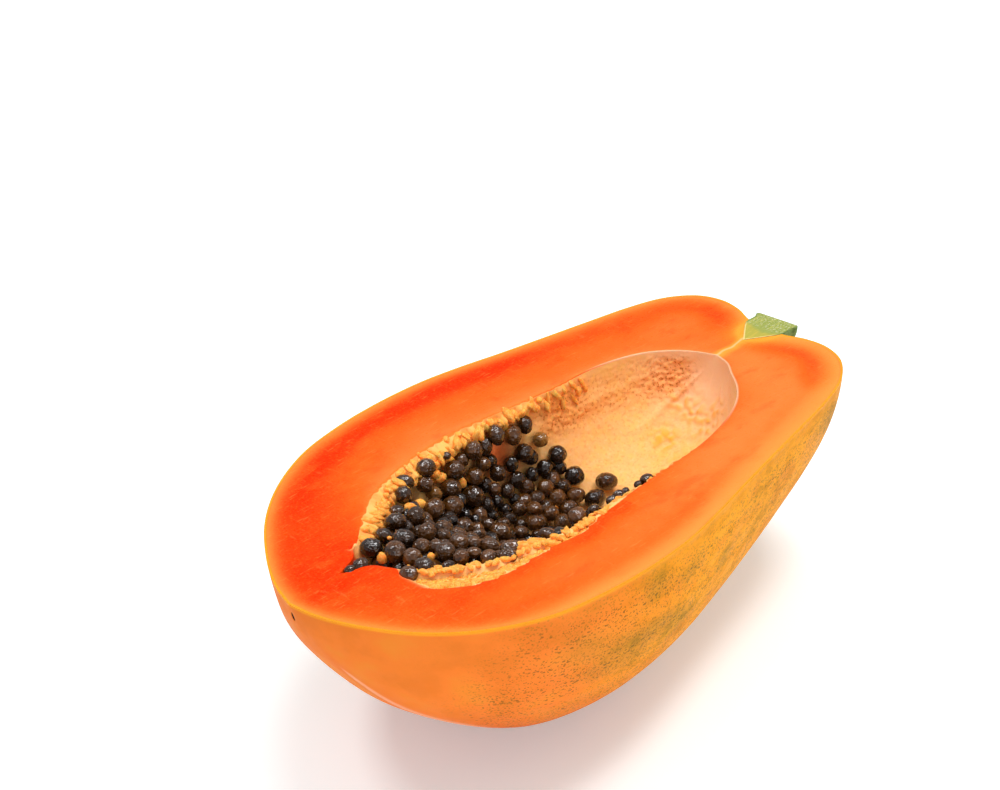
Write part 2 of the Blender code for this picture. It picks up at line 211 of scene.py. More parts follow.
def smooth_curve(stations, count):
    """A smooth curve through the stations, read at even steps along its length."""
    knots = np.array(stations, dtype=float)
    ends = np.vstack([2 * knots[0] - knots[1], knots, 2 * knots[-1] - knots[-2]])
    stretches = []
    for a, b, c, d in zip(ends, ends[1:], ends[2:], ends[3:]):
        t = np.linspace(0.0, 1.0, CURVE_STEPS, endpoint=False)[:, None]
        turn = (2 * a - 5 * b + 4 * c - d) * t ** 2 + (3 * b - a - 3 * c + d) * t ** 3
        stretches.append(0.5 * (2 * b + (c - a) * t + turn))
    curve = np.vstack(stretches + [knots[-1:]])
    travel = np.concatenate([[0.0], np.cumsum(np.linalg.norm(np.diff(curve, axis=0), axis=1))])
    wanted = np.linspace(0.0, travel[-1], count)
    return np.stack([np.interp(wanted, travel, column) for column in curve.T], axis=1)


SKIN_CURVE = smooth_curve(SKIN_STATIONS, ROWS + 1)
HOLLOW_CURVE = smooth_curve(HOLLOW_STATIONS, ROWS + 1)
HOLLOW_START, HOLLOW_END = HOLLOW_STATIONS[0][0], HOLLOW_STATIONS[-1][0]
print(f"fruit {SKIN_CURVE[:, 0].max():.0f} mm long, hollow {HOLLOW_END - HOLLOW_START:.0f} mm")

# %% [markdown]
# Nothing on a fruit is exact. Smooth noise, measured in millimetres of the fruit, roughens every form
# below. A soft step says where a feature begins and ends, and a soft bump where it is at its fullest.

# %% Noise, soft steps and soft bumps
# Stretches of a pattern: the same all ways, and drawn out along the fruit
EVEN = (1.0, 1.0, 1.0)
ALONG_FRUIT = (2.0, 1.0, 1.0)
# How far apart the noise is read for two seeds that are one apart
SEED_SHIFT = 7.31


def ripple(points, grain, seed=0.0, stretch=EVEN):
    """Smooth noise, about -1 to 1, whose swells are as wide as the grain, in millimetres."""
    shape = points.shape[:-1]
    scaled = points.reshape(-1, 3) / (grain * np.array(stretch)) + seed * SEED_SHIFT
    return np.array([noise.noise(row) for row in scaled.tolist()]).reshape(shape)


def swells(points, grain, seed, stretch=EVEN):
    """The same smooth noise, about 0 to 1."""
    return 0.5 + 0.5 * ripple(points, grain, seed, stretch)


def ease(value, start, end):
    """0 before start, 1 after end, with a smooth rise between them."""
    t = np.clip((np.asarray(value, dtype=float) - start) / (end - start), 0.0, 1.0)
    return t * t * (3 - 2 * t)


def bump_at(value, middle, spread):
    """A soft bump, 1 at its middle."""
    return np.exp(-((value - middle) / spread) ** 2)


print("noise at the blossom tip:", round(float(ripple(np.zeros((1, 3)), 5.0, 1.0)[0]), 3))

# %% [markdown]
# A papaya has five low lobes, plainer at its ends than at its waist. Near the blossom end one lobe
# carries a narrow ridge that starts at the scar of the flower. Both are swellings of the same round
# section, which is quicker and smoother than sculpting, and keeps the skin within its solid.

# %% The skin's form
LOBES = 5
WAIST_LOBE = 0.006
BLOSSOM_LOBE = 0.025
STEM_LOBE = 0.020
LEAN = 0.13
TURNS = 96
RIDGE_ANGLE = math.radians(124)
RIDGE_SPREAD = math.radians(5)
RIDGE_HEIGHT = 0.9
RIDGE_STARTS = (0.0, 12.0)
RIDGE_FADES = (40.0, 95.0)
# Greenish haze of the skin: place along the fruit and below the cut, and its reach both ways
HAZE_PLACE = (112.0, 20.0)
HAZE_REACH = (52.0, 28.0)
SKIN_SWELL = 0.35
SKIN_SWELL_GRAIN = 26.0
SKIN_RADIUS = 80.0
FRUIT_MIDDLE = -TIP_X / MM
SCAR_PLACE = (0.7, 0.0, -6.0)
SCAR_SHAPE = (1.0, 1.6, 0.7)
SCAR_REACH = (0.9, 1.8)
SCAR_PIT = 0.5
# Two clouds that break up the colour zones: grain, seed, stretch
CLOUD = (34.0, 13.0, EVEN)
SMALL_CLOUD = (13.0, 14.0, (1.6, 1.0, 1.0))
# Where each zone rises, in millimetres along the fruit, and how far the two clouds shift it
GOLD_RISES, GOLD_SHIFT = (48.0, 128.0), 16
SPECKS_RISE, SPECKS_SHIFT = (20.0, 52.0), (12, 6)
# The blush rises away from the cut, and is weaker towards the stem
BLUSH_RISES, BLUSH_SHIFT = (44.0, 96.0), (14, 5)
BLUSH_WEAKENS, BLUSH_LOSS = (100.0, 165.0), 0.7
# Steps in the clouds between haze and none, share of the wide cloud, and the haze by the stem, which is
# partly real green and partly painted shade of the stalk
HAZE_GAPS, HAZE_CLOUD = (-0.35, 0.55), 0.4
STEM_HAZE_AND_SHADE, STEM_HAZE_AND_SHADE_RISES, STEM_HAZE_AND_SHADE_DEPTH = 0.9, (196.0, 240.0), (14.0, 44.0)
STEM_HAZE_AND_SHADE_GAPS = (-0.5, 0.3)


def travel_along_rows(points):
    """Distance of each point of a sheet from the start of its row, measured along the row."""
    steps = np.linalg.norm(np.diff(points, axis=1), axis=-1)
    return np.concatenate([np.zeros((len(points), 1)), np.cumsum(steps, axis=1)], axis=1)


def skin_sheet():
    """Rows of skin points from the far rim (angle 0) round the belly to the near rim (a half turn)."""
    x, half_width, depth = (SKIN_CURVE[:, i][:, None] for i in range(3))
    angle = np.linspace(0.0, math.pi, TURNS + 1)[None, :]
    end_lobe = np.where(x < FRUIT_MIDDLE, BLOSSOM_LOBE, STEM_LOBE)
    from_end = np.minimum(x, 2 * FRUIT_MIDDLE - x)
    lobe = end_lobe + (WAIST_LOBE - end_lobe) * ease(from_end, 0.0, FRUIT_MIDDLE)
    swell = 1 - lobe * np.cos(LOBES * (angle - math.pi / 2))
    ridge = bump_at(angle, RIDGE_ANGLE, RIDGE_SPREAD)
    ridge = ridge * (1 - ease(x, *RIDGE_FADES)) * ease(x, *RIDGE_STARTS)
    swell = swell + ridge * RIDGE_HEIGHT / SKIN_RADIUS
    y = half_width * swell * np.cos(angle)
    points = np.stack([x + LEAN * y, y, -depth * swell * np.sin(angle)], axis=-1)
    waves = SKIN_SWELL * swells(points, SKIN_SWELL_GRAIN, 2.0)
    points[..., 1:] *= 1 - (waves / np.maximum(half_width, SKIN_SWELL_GRAIN))[..., None]
    points[..., 0] = np.minimum(points[..., 0], FRUIT_LENGTH)
    points[..., 2] = np.maximum(points[..., 2], -FLOOR_DEPTH)
    points[:, (0, -1), 2] = 0.0
    off_scar = np.linalg.norm((points - np.array(SCAR_PLACE)) * np.array(SCAR_SHAPE), axis=-1)
    scar = 1 - ease(off_scar, *SCAR_REACH)
    points[..., 0] += SCAR_PIT * scar
    return points, {"ridge": ridge * np.ones_like(scar), "scar": scar}


def skin_zones(points):
    """Masks of the skin's colour zones: below the cut, golden, blushing, hazy (with painted shade of the
    stalk by the stem), dotted.
    """
    x = points[..., 0]
    from_far = travel_along_rows(points)
    lip = np.minimum(from_far, from_far[:, -1:] - from_far)
    cloud, small_cloud = ripple(points, *CLOUD), ripple(points, *SMALL_CLOUD)
    gold = ease(x + GOLD_SHIFT * cloud, *GOLD_RISES)
    blush = ease(lip + BLUSH_SHIFT[0] * cloud + BLUSH_SHIFT[1] * small_cloud, *BLUSH_RISES)
    blush = blush * (1 - BLUSH_LOSS * ease(x, *BLUSH_WEAKENS))
    reach = np.hypot((x - HAZE_PLACE[0]) / HAZE_REACH[0], (lip - HAZE_PLACE[1]) / HAZE_REACH[1])
    haze = np.exp(-reach ** 2) * ease(small_cloud + HAZE_CLOUD * cloud, *HAZE_GAPS)
    # The haze by the stalk is partly real green and partly painted shade of the stalk.
    stem_haze_and_shade = ease(x, *STEM_HAZE_AND_SHADE_RISES) * (1 - ease(lip, *STEM_HAZE_AND_SHADE_DEPTH))
    stem_haze_and_shade = stem_haze_and_shade * ease(small_cloud, *STEM_HAZE_AND_SHADE_GAPS)
    haze = np.maximum(haze, STEM_HAZE_AND_SHADE * stem_haze_and_shade)
    dotted = ease(x + SPECKS_SHIFT[0] * cloud + SPECKS_SHIFT[1] * small_cloud, *SPECKS_RISE)
    return {"lip": lip, "gold": gold, "blush": blush, "haze": haze, "dotted": dotted}


SKIN_POINTS, SKIN_MASKS = skin_sheet()
SKIN_MASKS.update(skin_zones(SKIN_POINTS))
print("skin:", SKIN_POINTS.shape[0], "rows of", SKIN_POINTS.shape[1])

# %% [markdown]
# The lining is the wall of the seed hollow. Its upper edge carries the pulp: pale crumbly frills that
# held the seeds, thickest on the far side and gone towards the stem, where the lining is smooth with a
# rough brown patch and a few low seams. All of it is relief on one bowl, measured down from the rim.
# Separate lumps would show seams where they meet the wall, while relief stays one torn skin of tissue.

# %% The lining's form
HOLLOW_SQUARENESS = 2.2
HOLLOW_TURNS = 250
RIM_CROWDING = 0.05
HOLLOW_MIDDLE = (120.0, 0.0, 8.0)
# Widths or depths of the hollow, in millimetres, between which it gets room for relief
ROOM = (2.0, 18.0)
FRILL_HEIGHT = 4.2
FRILL_DROP = 3.4
FRILL_SPREAD = 3.6
FRILL_GRAIN = 2.5
# How the lumps of the frills are drawn out down and across the wall, where they stand out, and how high
# they are at least
FRILL_STRETCH = (0.45, 0.3)
LUMP_STEP = (-0.25, 0.42)
LEAST_LUMP = 0.25
# Grain of the slow change from thin to thick pulp, and its least and its growth
COARSE_GRAIN = 9.0
COARSE_LEAST, COARSE_GROWTH = 0.55, 0.6
FRILL_RANGE = (30.0, 46.0)
FRILL_FADE = (140.0, 186.0)
# Thick pulp under the far rim, which carries the frills: swelling, depth of its middle, spread, range
PULP_MASS = 4.2
PULP_MASS_DROP = 5.0
PULP_MASS_SPREAD = 5.5
PULP_MASS_RANGE = (96.0, 142.0)
PULP_MASS_START = 3.0
SEAM_HEIGHT = 0.9
SEAM_SPREAD = 0.07
SEAM_DROP = (5.0, 14.0)
SEAM_GRAIN = 20.0
SEAM_GAPS = (-0.5, 0.4)
# Rough brown streak: its two ends along the fruit and across, its spread across, in millimetres
RAW_ENDS = ((160.0, 33.0), (216.0, 14.0))
RAW_SPREAD = 6.0
RAW_STARTS = (1.0, 5.0)
RAW_FADES = (14.4, 24.0)
# Yellow patches of the lining: place and reach
YOLK_PATCHES = (
    (210.0, 10.0, -19.0, 5.0),
    (210.0, 3.0, -22.0, 5.5),
    (208.0, -5.0, -24.0, 6.0),
    (212.0, -8.0, -18.0, 4.5),
    (198.0, 8.0, -31.0, 6.0),
    (188.0, -8.0, -33.0, 9.0),
    (170.0, -16.0, -37.0, 11.0),
    (165.0, 33.0, -9.0, 3.5),
)
# A darker red patch high on the far wall, above the heap: place and reach
FAR_WALL_PATCH_PLACE = (132.0, 35.0, -17.0)
FAR_WALL_PATCH_REACH = 9.0
YOLK_GRAIN = 2.6
YOLK_GAPS = (-0.35, 0.35)
YOLK_HEIGHT = 0.8
# Crumbly roughness: its grain, its height everywhere, more on the brown streak and more under the frills
CRUMB_GRAIN = 1.7
CRUMB_HEIGHTS = (0.10, 0.62, 0.30)
# Soft waves of the whole lining: height, grain, and the drop below the rim where they start
WALL_WAVE, WALL_WAVE_GRAIN, WALL_WAVE_START = 0.30, 5.0, 4.0
CRUMB_START, RELIEF_START = 1.5, 0.6
PINK_FROM = (196.0, 219.0)
PINK_LOSS = 0.7


def wall_bowl():
    """The bare bowl of the hollow: rows of points from its far rim to its near rim."""
    x, far, near, depth = (HOLLOW_CURVE[:, i][:, None] for i in range(4))
    turn = np.linspace(0.0, 1.0, HOLLOW_TURNS + 1)[None, :]
    angle = math.pi * (turn - RIM_CROWDING * np.sin(2 * math.pi * turn))
    side = np.where(angle < math.pi / 2, far, near)
    size = np.maximum(np.minimum(side, depth), MM)
    power = 2 / HOLLOW_SQUARENESS
    across = np.sign(np.cos(angle)) * np.abs(np.cos(angle)) ** power
    down = np.abs(np.sin(angle)) ** power
    down[:, (0, -1)] = 0.0
    points = np.stack([x + 0 * angle, side * across, -depth * down], axis=-1)
    return points, angle + 0 * x, size


def bowl_normals(points):
    """Directions into the hollow, from the slopes of the rows and columns."""
    along = np.gradient(points, axis=0)
    round_wall = np.gradient(points, axis=1)
    normals = np.cross(round_wall, along)
    lengths = np.linalg.norm(normals, axis=-1, keepdims=True)
    normals = normals / np.maximum(lengths, 1e-9)
    facing = np.sum(normals * (np.array(HOLLOW_MIDDLE) - points), axis=-1, keepdims=True)
    return normals * np.where(facing < 0, -1.0, 1.0)


def lining_sheet():
    """The lining with its relief, and the masks that its colours follow."""
    points, angle, size = wall_bowl()
    from_far = travel_along_rows(points)
    drop = np.minimum(from_far, from_far[:, -1:] - from_far)
    x, y = points[..., 0], points[..., 1]
    roomy = ease(size, *ROOM) * np.ones_like(x)
    at_end = ease(x, *FRILL_RANGE) * (1 - ease(x, *FRILL_FADE))
    band = bump_at(drop, FRILL_DROP, FRILL_SPREAD) * at_end * roomy
    along_rim = np.stack([x, FRILL_STRETCH[0] * drop, FRILL_STRETCH[1] * y], axis=-1)
    lump = ease(ripple(along_rim, FRILL_GRAIN, 3.0), *LUMP_STEP)
    coarse = swells(points, COARSE_GRAIN, 4.0)
    frill = band * (LEAST_LUMP + (1 - LEAST_LUMP) * lump) * (COARSE_LEAST + COARSE_GROWTH * coarse)
    seam_off = np.abs((LOBES * angle / math.pi) % 1.0 - 0.5) / LOBES * math.pi
    seam = bump_at(seam_off, 0.0, SEAM_SPREAD) * ease(drop, *SEAM_DROP) * roomy
    seam = seam * ease(ripple(points, SEAM_GRAIN, 5.0), *SEAM_GAPS)
    start, end = (np.array(stop) for stop in RAW_ENDS)
    run = end - start
    along = np.clip(((points[..., :2] - start) @ run) / (run @ run), 0.0, 1.0)
    off_streak = np.linalg.norm(points[..., :2] - start - along[..., None] * run, axis=-1)
    raw = bump_at(off_streak, 0.0, RAW_SPREAD * (0.75 + 0.5 * coarse)) * (y > 0)
    raw = raw * ease(drop, *RAW_STARTS) * (1 - ease(drop, *RAW_FADES))
    yolk = np.zeros_like(x)
    for *middle, reach in YOLK_PATCHES:
        yolk = np.maximum(yolk, bump_at(np.linalg.norm(points - np.array(middle), axis=-1), 0.0, reach))
    yolk = yolk * ease(ripple(points, YOLK_GRAIN, 15.0), *YOLK_GAPS)
    rough = CRUMB_HEIGHTS[0] + CRUMB_HEIGHTS[1] * raw + CRUMB_HEIGHTS[2] * band
    crumb = rough * ripple(points, CRUMB_GRAIN, 6.0) * roomy * ease(drop, 0.0, CRUMB_START)
    mass = PULP_MASS * bump_at(drop, PULP_MASS_DROP, PULP_MASS_SPREAD) * (y > 0)
    mass = mass * at_end * roomy * (1 - ease(x, *PULP_MASS_RANGE)) * ease(drop, 0.0, PULP_MASS_START)
    wave = WALL_WAVE * ripple(points, WALL_WAVE_GRAIN, 7.0) * roomy * ease(drop, 0.0, WALL_WAVE_START)
    relief = FRILL_HEIGHT * frill + SEAM_HEIGHT * seam + crumb + mass + YOLK_HEIGHT * yolk + wave
    points = points + bowl_normals(points) * relief[..., None] * ease(drop, 0.0, RELIEF_START)[..., None]
    points[..., 2] = np.minimum(points[..., 2], 0.0)
    blush = ease(x, *PINK_FROM) * (1 - PINK_LOSS * yolk)
    torn = bump_at(np.linalg.norm(points - np.array(FAR_WALL_PATCH_PLACE), axis=-1), 0.0, FAR_WALL_PATCH_REACH)
    masks = {"frill": frill, "raw": raw, "band": band, "drop": drop}
    return points, dict(masks, yolk=yolk, blush=blush, torn=torn)


LINING_POINTS, LINING_MASKS = lining_sheet()
print("lining:", LINING_POINTS.shape[0], "rows of", LINING_POINTS.shape[1])

# %% [markdown]
# The cut face joins skin and lining. A knife leaves it nearly flat, with soft ripples where the flesh
# gave way. On the near side a ledge of crumbly pulp lies between the red flesh and the seeds, so the
# face holds its outline too. Distances to the skin, to the hollow and to that outline are kept with
# the points, because the colours of the flesh follow them.

# %% The cut face's form
FACE_STEPS = 26
EDGE_POINTS = 120
# Edge of the red flesh where it meets the pulp of the ledge: place along the fruit, side
LEDGE_EDGE = (
    (23.5, -0.6),
    (30.0, -3.0),
    (34.5, -6.5),
    (37.3, -12.9),
    (33.5, -18.5),
    (32.6, -24.0),
    (36.5, -30.0),
    (44.9, -38.0),
    (52.7, -42.0),
    (62.7, -43.9),
    (75.3, -44.0),
    (84.6, -45.0),
    (94.5, -46.0),
    (104.0, -44.3),
    (114.0, -43.4),
    (120.0, -42.6),
    (126.0, -41.0),
)
# Where the slit's red walls turn to pulp, along the fruit
PULP_FROM = (34.0, 39.0)
# How wide the border between flesh and pulp is, each side of the ledge's edge
PULP_BORDER = 0.3
# The ledge sinks by a step just inside its edge and slopes on from there, with lumps of two grains on it
LEDGE_SINK, LEDGE_STEP = 1.1, 1.4
LEDGE_SLOPE = 0.16
LEDGE_GRAINS, LEDGE_SMALL_LUMP = (2.3, 1.2), 0.25
# Ripples of the face, which end before the skin and before the hollow
FACE_WAVE, FACE_WAVE_GRAIN = 0.22, 11.0
WAVE_OFF_SKIN, WAVE_OFF_HOLLOW, LUMPS_OFF_HOLLOW = 3.0, 2.0, 0.8
# Veins run from the hollow's end to the stalk, a little aslant; a yellow glow lies round the stalk's core:
# its middle along the fruit, its radius and its fade
VEIN_LEAN = 0.04
CORE_GLOW = (250.0, 9.0, 2.6)
CORE_SQUEEZE = 0.8
# Width of the paler flesh under the skin, on the far side and on the near side
GLOW_WIDTH = (3.2, 7.0)
GLOW_WIDENS_ACROSS, GLOW_WIDENS_ALONG = (0.0, 20.0), (25.0, 90.0)
GLOW_POWER = 1.6
# Where the ledge's outline closes under the seeds, on the far side of the fruit's axis
LEDGE_BACK = 10.0
LEDGE_CRUMB = 0.9
# Where the veins run, along the fruit and across, and how much they waver
VEIN_STARTS, VEIN_ENDS, VEIN_SIDE = (216.0, 221.0), (241.0, 246.0), (6.0, 10.0)
VEIN_WAVER, VEIN_WAVER_GRAIN = 1.4, 6.0


def nearest_distances(points, line):
    """Distance from each point to a line of points on the cut face, in millimetres."""
    tree = KDTree(len(line))
    for i, (x, y) in enumerate(line.tolist()):
        tree.insert((x, y, 0.0), i)
    tree.balance()
    return np.array([tree.find((x, y, 0.0))[2] for x, y in points.tolist()])


def inside_outline(points, outline):
    """True for the points of the cut face that lie within a closed outline."""
    inside = np.zeros(len(points), dtype=bool)
    for (ax, ay), (bx, by) in zip(outline, np.roll(outline, -1, axis=0)):
        crosses = (ay > points[:, 1]) != (by > points[:, 1])
        reach = ax + (points[:, 1] - ay) * (bx - ax) / (by - ay if by != ay else 1.0)
        inside ^= crosses & (points[:, 0] < reach)
    return inside


def rim_loop(sheet):
    """The far rim from the blossom tip to the stem, then the near rim back."""
    return np.vstack([sheet[:, 0], sheet[::-1, -1]])


def face_sheet():
    """The cut face from the skin to the hollow, and the masks that its colours follow."""
    outer, inner = rim_loop(SKIN_POINTS), rim_loop(LINING_POINTS)
    step = np.linspace(0.0, 1.0, FACE_STEPS + 1)[None, :, None]
    points = outer[:, None] + (inner - outer)[:, None] * step
    flat = points[..., :2].reshape(-1, 2)
    shape = points.shape[:2]
    from_skin = nearest_distances(flat, outer[:, :2]).reshape(shape)
    to_hollow = nearest_distances(flat, inner[:, :2]).reshape(shape)
    edge = smooth_curve(LEDGE_EDGE, EDGE_POINTS)
    outline = np.vstack([edge, [(LEDGE_EDGE[-1][0], LEDGE_BACK), (LEDGE_EDGE[0][0], LEDGE_BACK)]])
    on_ledge = inside_outline(flat, outline).reshape(shape)
    ledge = nearest_distances(flat, edge).reshape(shape) * np.where(on_ledge, 1.0, -1.0)
    zone = ease(points[..., 0], *PULP_FROM)
    pulp = ease(ledge, -PULP_BORDER, PULP_BORDER) * zone
    wave = FACE_WAVE * swells(points, FACE_WAVE_GRAIN, 8.0, ALONG_FRUIT)
    sink = wave * ease(from_skin, 0.0, WAVE_OFF_SKIN) * ease(to_hollow, 0.0, WAVE_OFF_HOLLOW)
    lumps = swells(points, LEDGE_GRAINS[0], 9.0) + LEDGE_SMALL_LUMP * ripple(points, LEDGE_GRAINS[1], 10.0)
    slope = LEDGE_SINK * ease(ledge, 0.0, LEDGE_STEP) + LEDGE_SLOPE * np.maximum(ledge, 0.0)
    crumbs = np.maximum(pulp * (slope + LEDGE_CRUMB * lumps), 0.0)
    points[..., 2] = -(sink + crumbs * ease(to_hollow, 0.0, LUMPS_OFF_HOLLOW))
    points[:, 0, 2] = 0.0
    points[:, -1] = inner
    x, y = points[..., 0], points[..., 1]
    widening = ease(-y, *GLOW_WIDENS_ACROSS) * ease(x, *GLOW_WIDENS_ALONG)
    width = GLOW_WIDTH[0] + (GLOW_WIDTH[1] - GLOW_WIDTH[0]) * widening
    core_off = np.maximum(np.hypot(CORE_SQUEEZE * (x - CORE_GLOW[0]), y) - CORE_GLOW[1], 0.0)
    masks = {"from_skin": from_skin, "to_hollow": to_hollow, "zone": zone, "ledge": ledge}
    masks["glow"] = np.exp(-(from_skin / width) ** GLOW_POWER)
    masks["core"] = np.exp(-core_off / CORE_GLOW[2])
    waver = VEIN_WAVER * ripple(points, VEIN_WAVER_GRAIN, 16.0)
    masks["vein_off"] = y - VEIN_LEAN * (x - HOLLOW_END) - waver
    masks["vein_on"] = ease(x, *VEIN_STARTS) * (1 - ease(x, *VEIN_ENDS)) * (1 - ease(np.abs(y), *VEIN_SIDE))
    return points, masks


FACE_POINTS, FACE_MASKS = face_sheet()
print("cut face:", FACE_POINTS.shape[0], "places round,", FACE_POINTS.shape[1], "across")

# %% [markdown]
# The three sheets share their edges, so welding equal points closes them into one body. Numpy finds the
# equal points far quicker than a merge by distance would, and the masks ride along as attributes.

# %% Welding sheets into one body
# In millimetres
WELD = 0.001


def sheet_faces(rows, columns, first):
    """Corner numbers of the four-sided faces of one sheet."""
    corner = first + np.arange(rows - 1)[:, None] * columns + np.arange(columns - 1)[None, :]
    return np.stack([corner, corner + columns, corner + columns + 1, corner + 1], axis=-1).reshape(-1, 4)


def welded_piece(name, sheets, materials):
    """One closed mesh from sheets of (points, masks, material number) that share their edges."""
    names = sorted({mask for _, masks, _ in sheets for mask in masks})
    first, points, faces, kinds = 0, [], [], []
    values = {mask: [] for mask in names}
    for sheet, masks, kind in sheets:
        rows, columns = sheet.shape[:2]
        corners = sheet_faces(rows, columns, first)
        points.append(sheet.reshape(-1, 3))
        faces.append(corners)
        kinds.append(np.full(len(corners), kind))
        for mask in names:
            values[mask].append(np.asarray(masks.get(mask, np.zeros((rows, columns)))).reshape(-1))
        first += rows * columns
    points, faces, kinds = np.vstack(points), np.vstack(faces), np.concatenate(kinds)
    keys = np.round(points / WELD).astype(np.int64)
    _, kept, renumbered = np.unique(keys, axis=0, return_index=True, return_inverse=True)
    faces = renumbered.reshape(-1)[faces]
    rings = [list(dict.fromkeys(face)) for face in faces.tolist()]
    solid = [i for i, ring in enumerate(rings) if len(ring) > 2]
    mesh = bpy.data.meshes.new(name)
    mesh.from_pydata(place(points[kept]).tolist(), [], [rings[i] for i in solid])
    mesh.polygons.foreach_set("material_index", kinds[solid].astype(np.int32))
    for mask in names:
        attribute = mesh.attributes.new(mask, "FLOAT", "POINT")
        attribute.data.foreach_set("value", np.concatenate(values[mask])[kept].astype(np.float32))
    mesh.shade_smooth()
    for material in materials:
        mesh.materials.append(material)
    return add_object(name, mesh)


print("points closer than this are one:", WELD, "mm")

# %% [markdown]
# Every finish starts from what the real surface is. Colours are written as they look on a screen and
# turned to linear light by one function, and one small function adds any shader node with its settings
# and links. A finish is then painted in layers, as with glazes: each layer has a colour and lies where
# its masks are high. Masks come from the shapes above, or from noise and cells of a size in millimetres.
# The same fields drive roughness and bump, so that what looks rough is rough. Writing a table for each
# finish is shorter than wiring it by hand, and easier to change.

# %% Colours, shader nodes and layers
def linear(code):
    """An sRGB hex colour in linear light, with full alpha."""
    parts = [int(code[i:i + 2], 16) / 255 for i in (1, 3, 5)]
    return tuple(c / 12.92 if c <= 0.04045 else ((c + 0.055) / 1.055) ** 2.4 for c in parts) + (1.0,)


def per_metre(size):
    """Pattern scale, in repeats per metre, of a pattern this many millimetres wide."""
    return 1.0 / (size * MM)


def add_node(tree, kind, inputs=None, out=0, **settings):
    """Adds a shader node and gives an output of it. An input takes a value or the socket that feeds it."""
    node = tree.nodes.new("ShaderNode" + kind)
    for name, value in settings.items():
        setattr(node, name, value)
    for socket, value in (inputs or {}).items():
        if isinstance(value, bpy.types.NodeSocket):
            tree.links.new(value, node.inputs[socket])
        else:
            node.inputs[socket].default_value = value
    return node.outputs[out]


# Numbers of the colour inputs and the output of a Mix node
MIX_A, MIX_B, MIX_OUT = 6, 7, 2


def paint(tree, base, masks, waves, cells, steps, layers):
    """Colour painted in layers over a base, and the fields that it was painted by."""
    where = add_node(tree, "TexCoord", out="Object")
    fields = {name: add_node(tree, "Attribute", out="Fac", attribute_name=name) for name in masks}
    for name, (size, detail, stretch) in waves.items():
        spread = add_node(tree, "Mapping", {"Vector": where, "Scale": stretch})
        wave = {"Vector": spread, "Scale": per_metre(size), "Detail": detail}
        fields[name] = add_node(tree, "TexNoise", wave)
    for name, (size, stretch) in cells.items():
        spread = add_node(tree, "Mapping", {"Vector": where, "Scale": stretch})
        fields[name] = add_node(tree, "TexVoronoi", {"Vector": spread, "Scale": per_metre(size)})
    for name, (source, start, end) in steps.items():
        edges = {0: fields[source], 1: start, 2: end}
        fields[name] = add_node(tree, "MapRange", edges, interpolation_type="SMOOTHSTEP")
    colour = linear(base)
    for names, strength, code in layers:
        factor = strength
        for name in names:
            factor = add_node(tree, "Math", {0: fields[name], 1: factor}, operation="MULTIPLY")
        glaze = {0: factor, MIX_A: colour, MIX_B: linear(code)}
        colour = add_node(tree, "Mix", glaze, MIX_OUT, data_type="RGBA")
    return colour, fields


def finish(name, painting, gloss=None, relief=(), bump=(), normals=("Normal",), **values):
    """A material from its painting: base, masks, waves, cells, steps and layers.

    Gloss is a field, its low and high, and the roughness at each. Relief gives fields and their weights,
    and bump its strength and its depth in millimetres. Values are the same all over the surface.
    """
    material = bpy.data.materials.new(name)
    material.use_nodes = True
    tree = material.node_tree
    shader = tree.nodes["Principled BSDF"]
    for socket, value in values.items():
        shader.inputs[socket.replace("_", " ")].default_value = value
    colour, fields = paint(tree, *painting)
    tree.links.new(colour, shader.inputs["Base Color"])
    if gloss:
        field, *edges = gloss
        rough = add_node(tree, "MapRange", {0: fields[field], **dict(enumerate(edges, 1))})
        tree.links.new(rough, shader.inputs["Roughness"])
    height = 0.0
    for field, weight in relief:
        height = add_node(tree, "Math", {0: fields[field], 1: weight, 2: height}, operation="MULTIPLY_ADD")
    if bump:
        dented = {"Strength": bump[0], "Distance": bump[1] * MM, "Height": height}
        dented = add_node(tree, "Bump", dented)
        for socket in normals:
            tree.links.new(dented, shader.inputs[socket])
    print("finish:", name, "with", len(painting[-1]), "layers")
    return material


print("orange in linear light:", [round(c, 3) for c in linear("#FF6A20")])

# %% [markdown]
# Flesh of a ripe papaya: wet, finely fibrous plant tissue, water with a little sugar, so its IOR is near
# 1.37 and light goes a few millimetres into it. A sharp knife leaves it almost satin. It is reddest in
# the middle of its thickness, paler towards the hollow, and turns yellow in the last two millimetres
# under the skin. Short light fibres cross it. The same tissue forms the pale lining, where it is peach
# with pits, and the crumbly pulp, so one material holds both and masks tell where each begins.

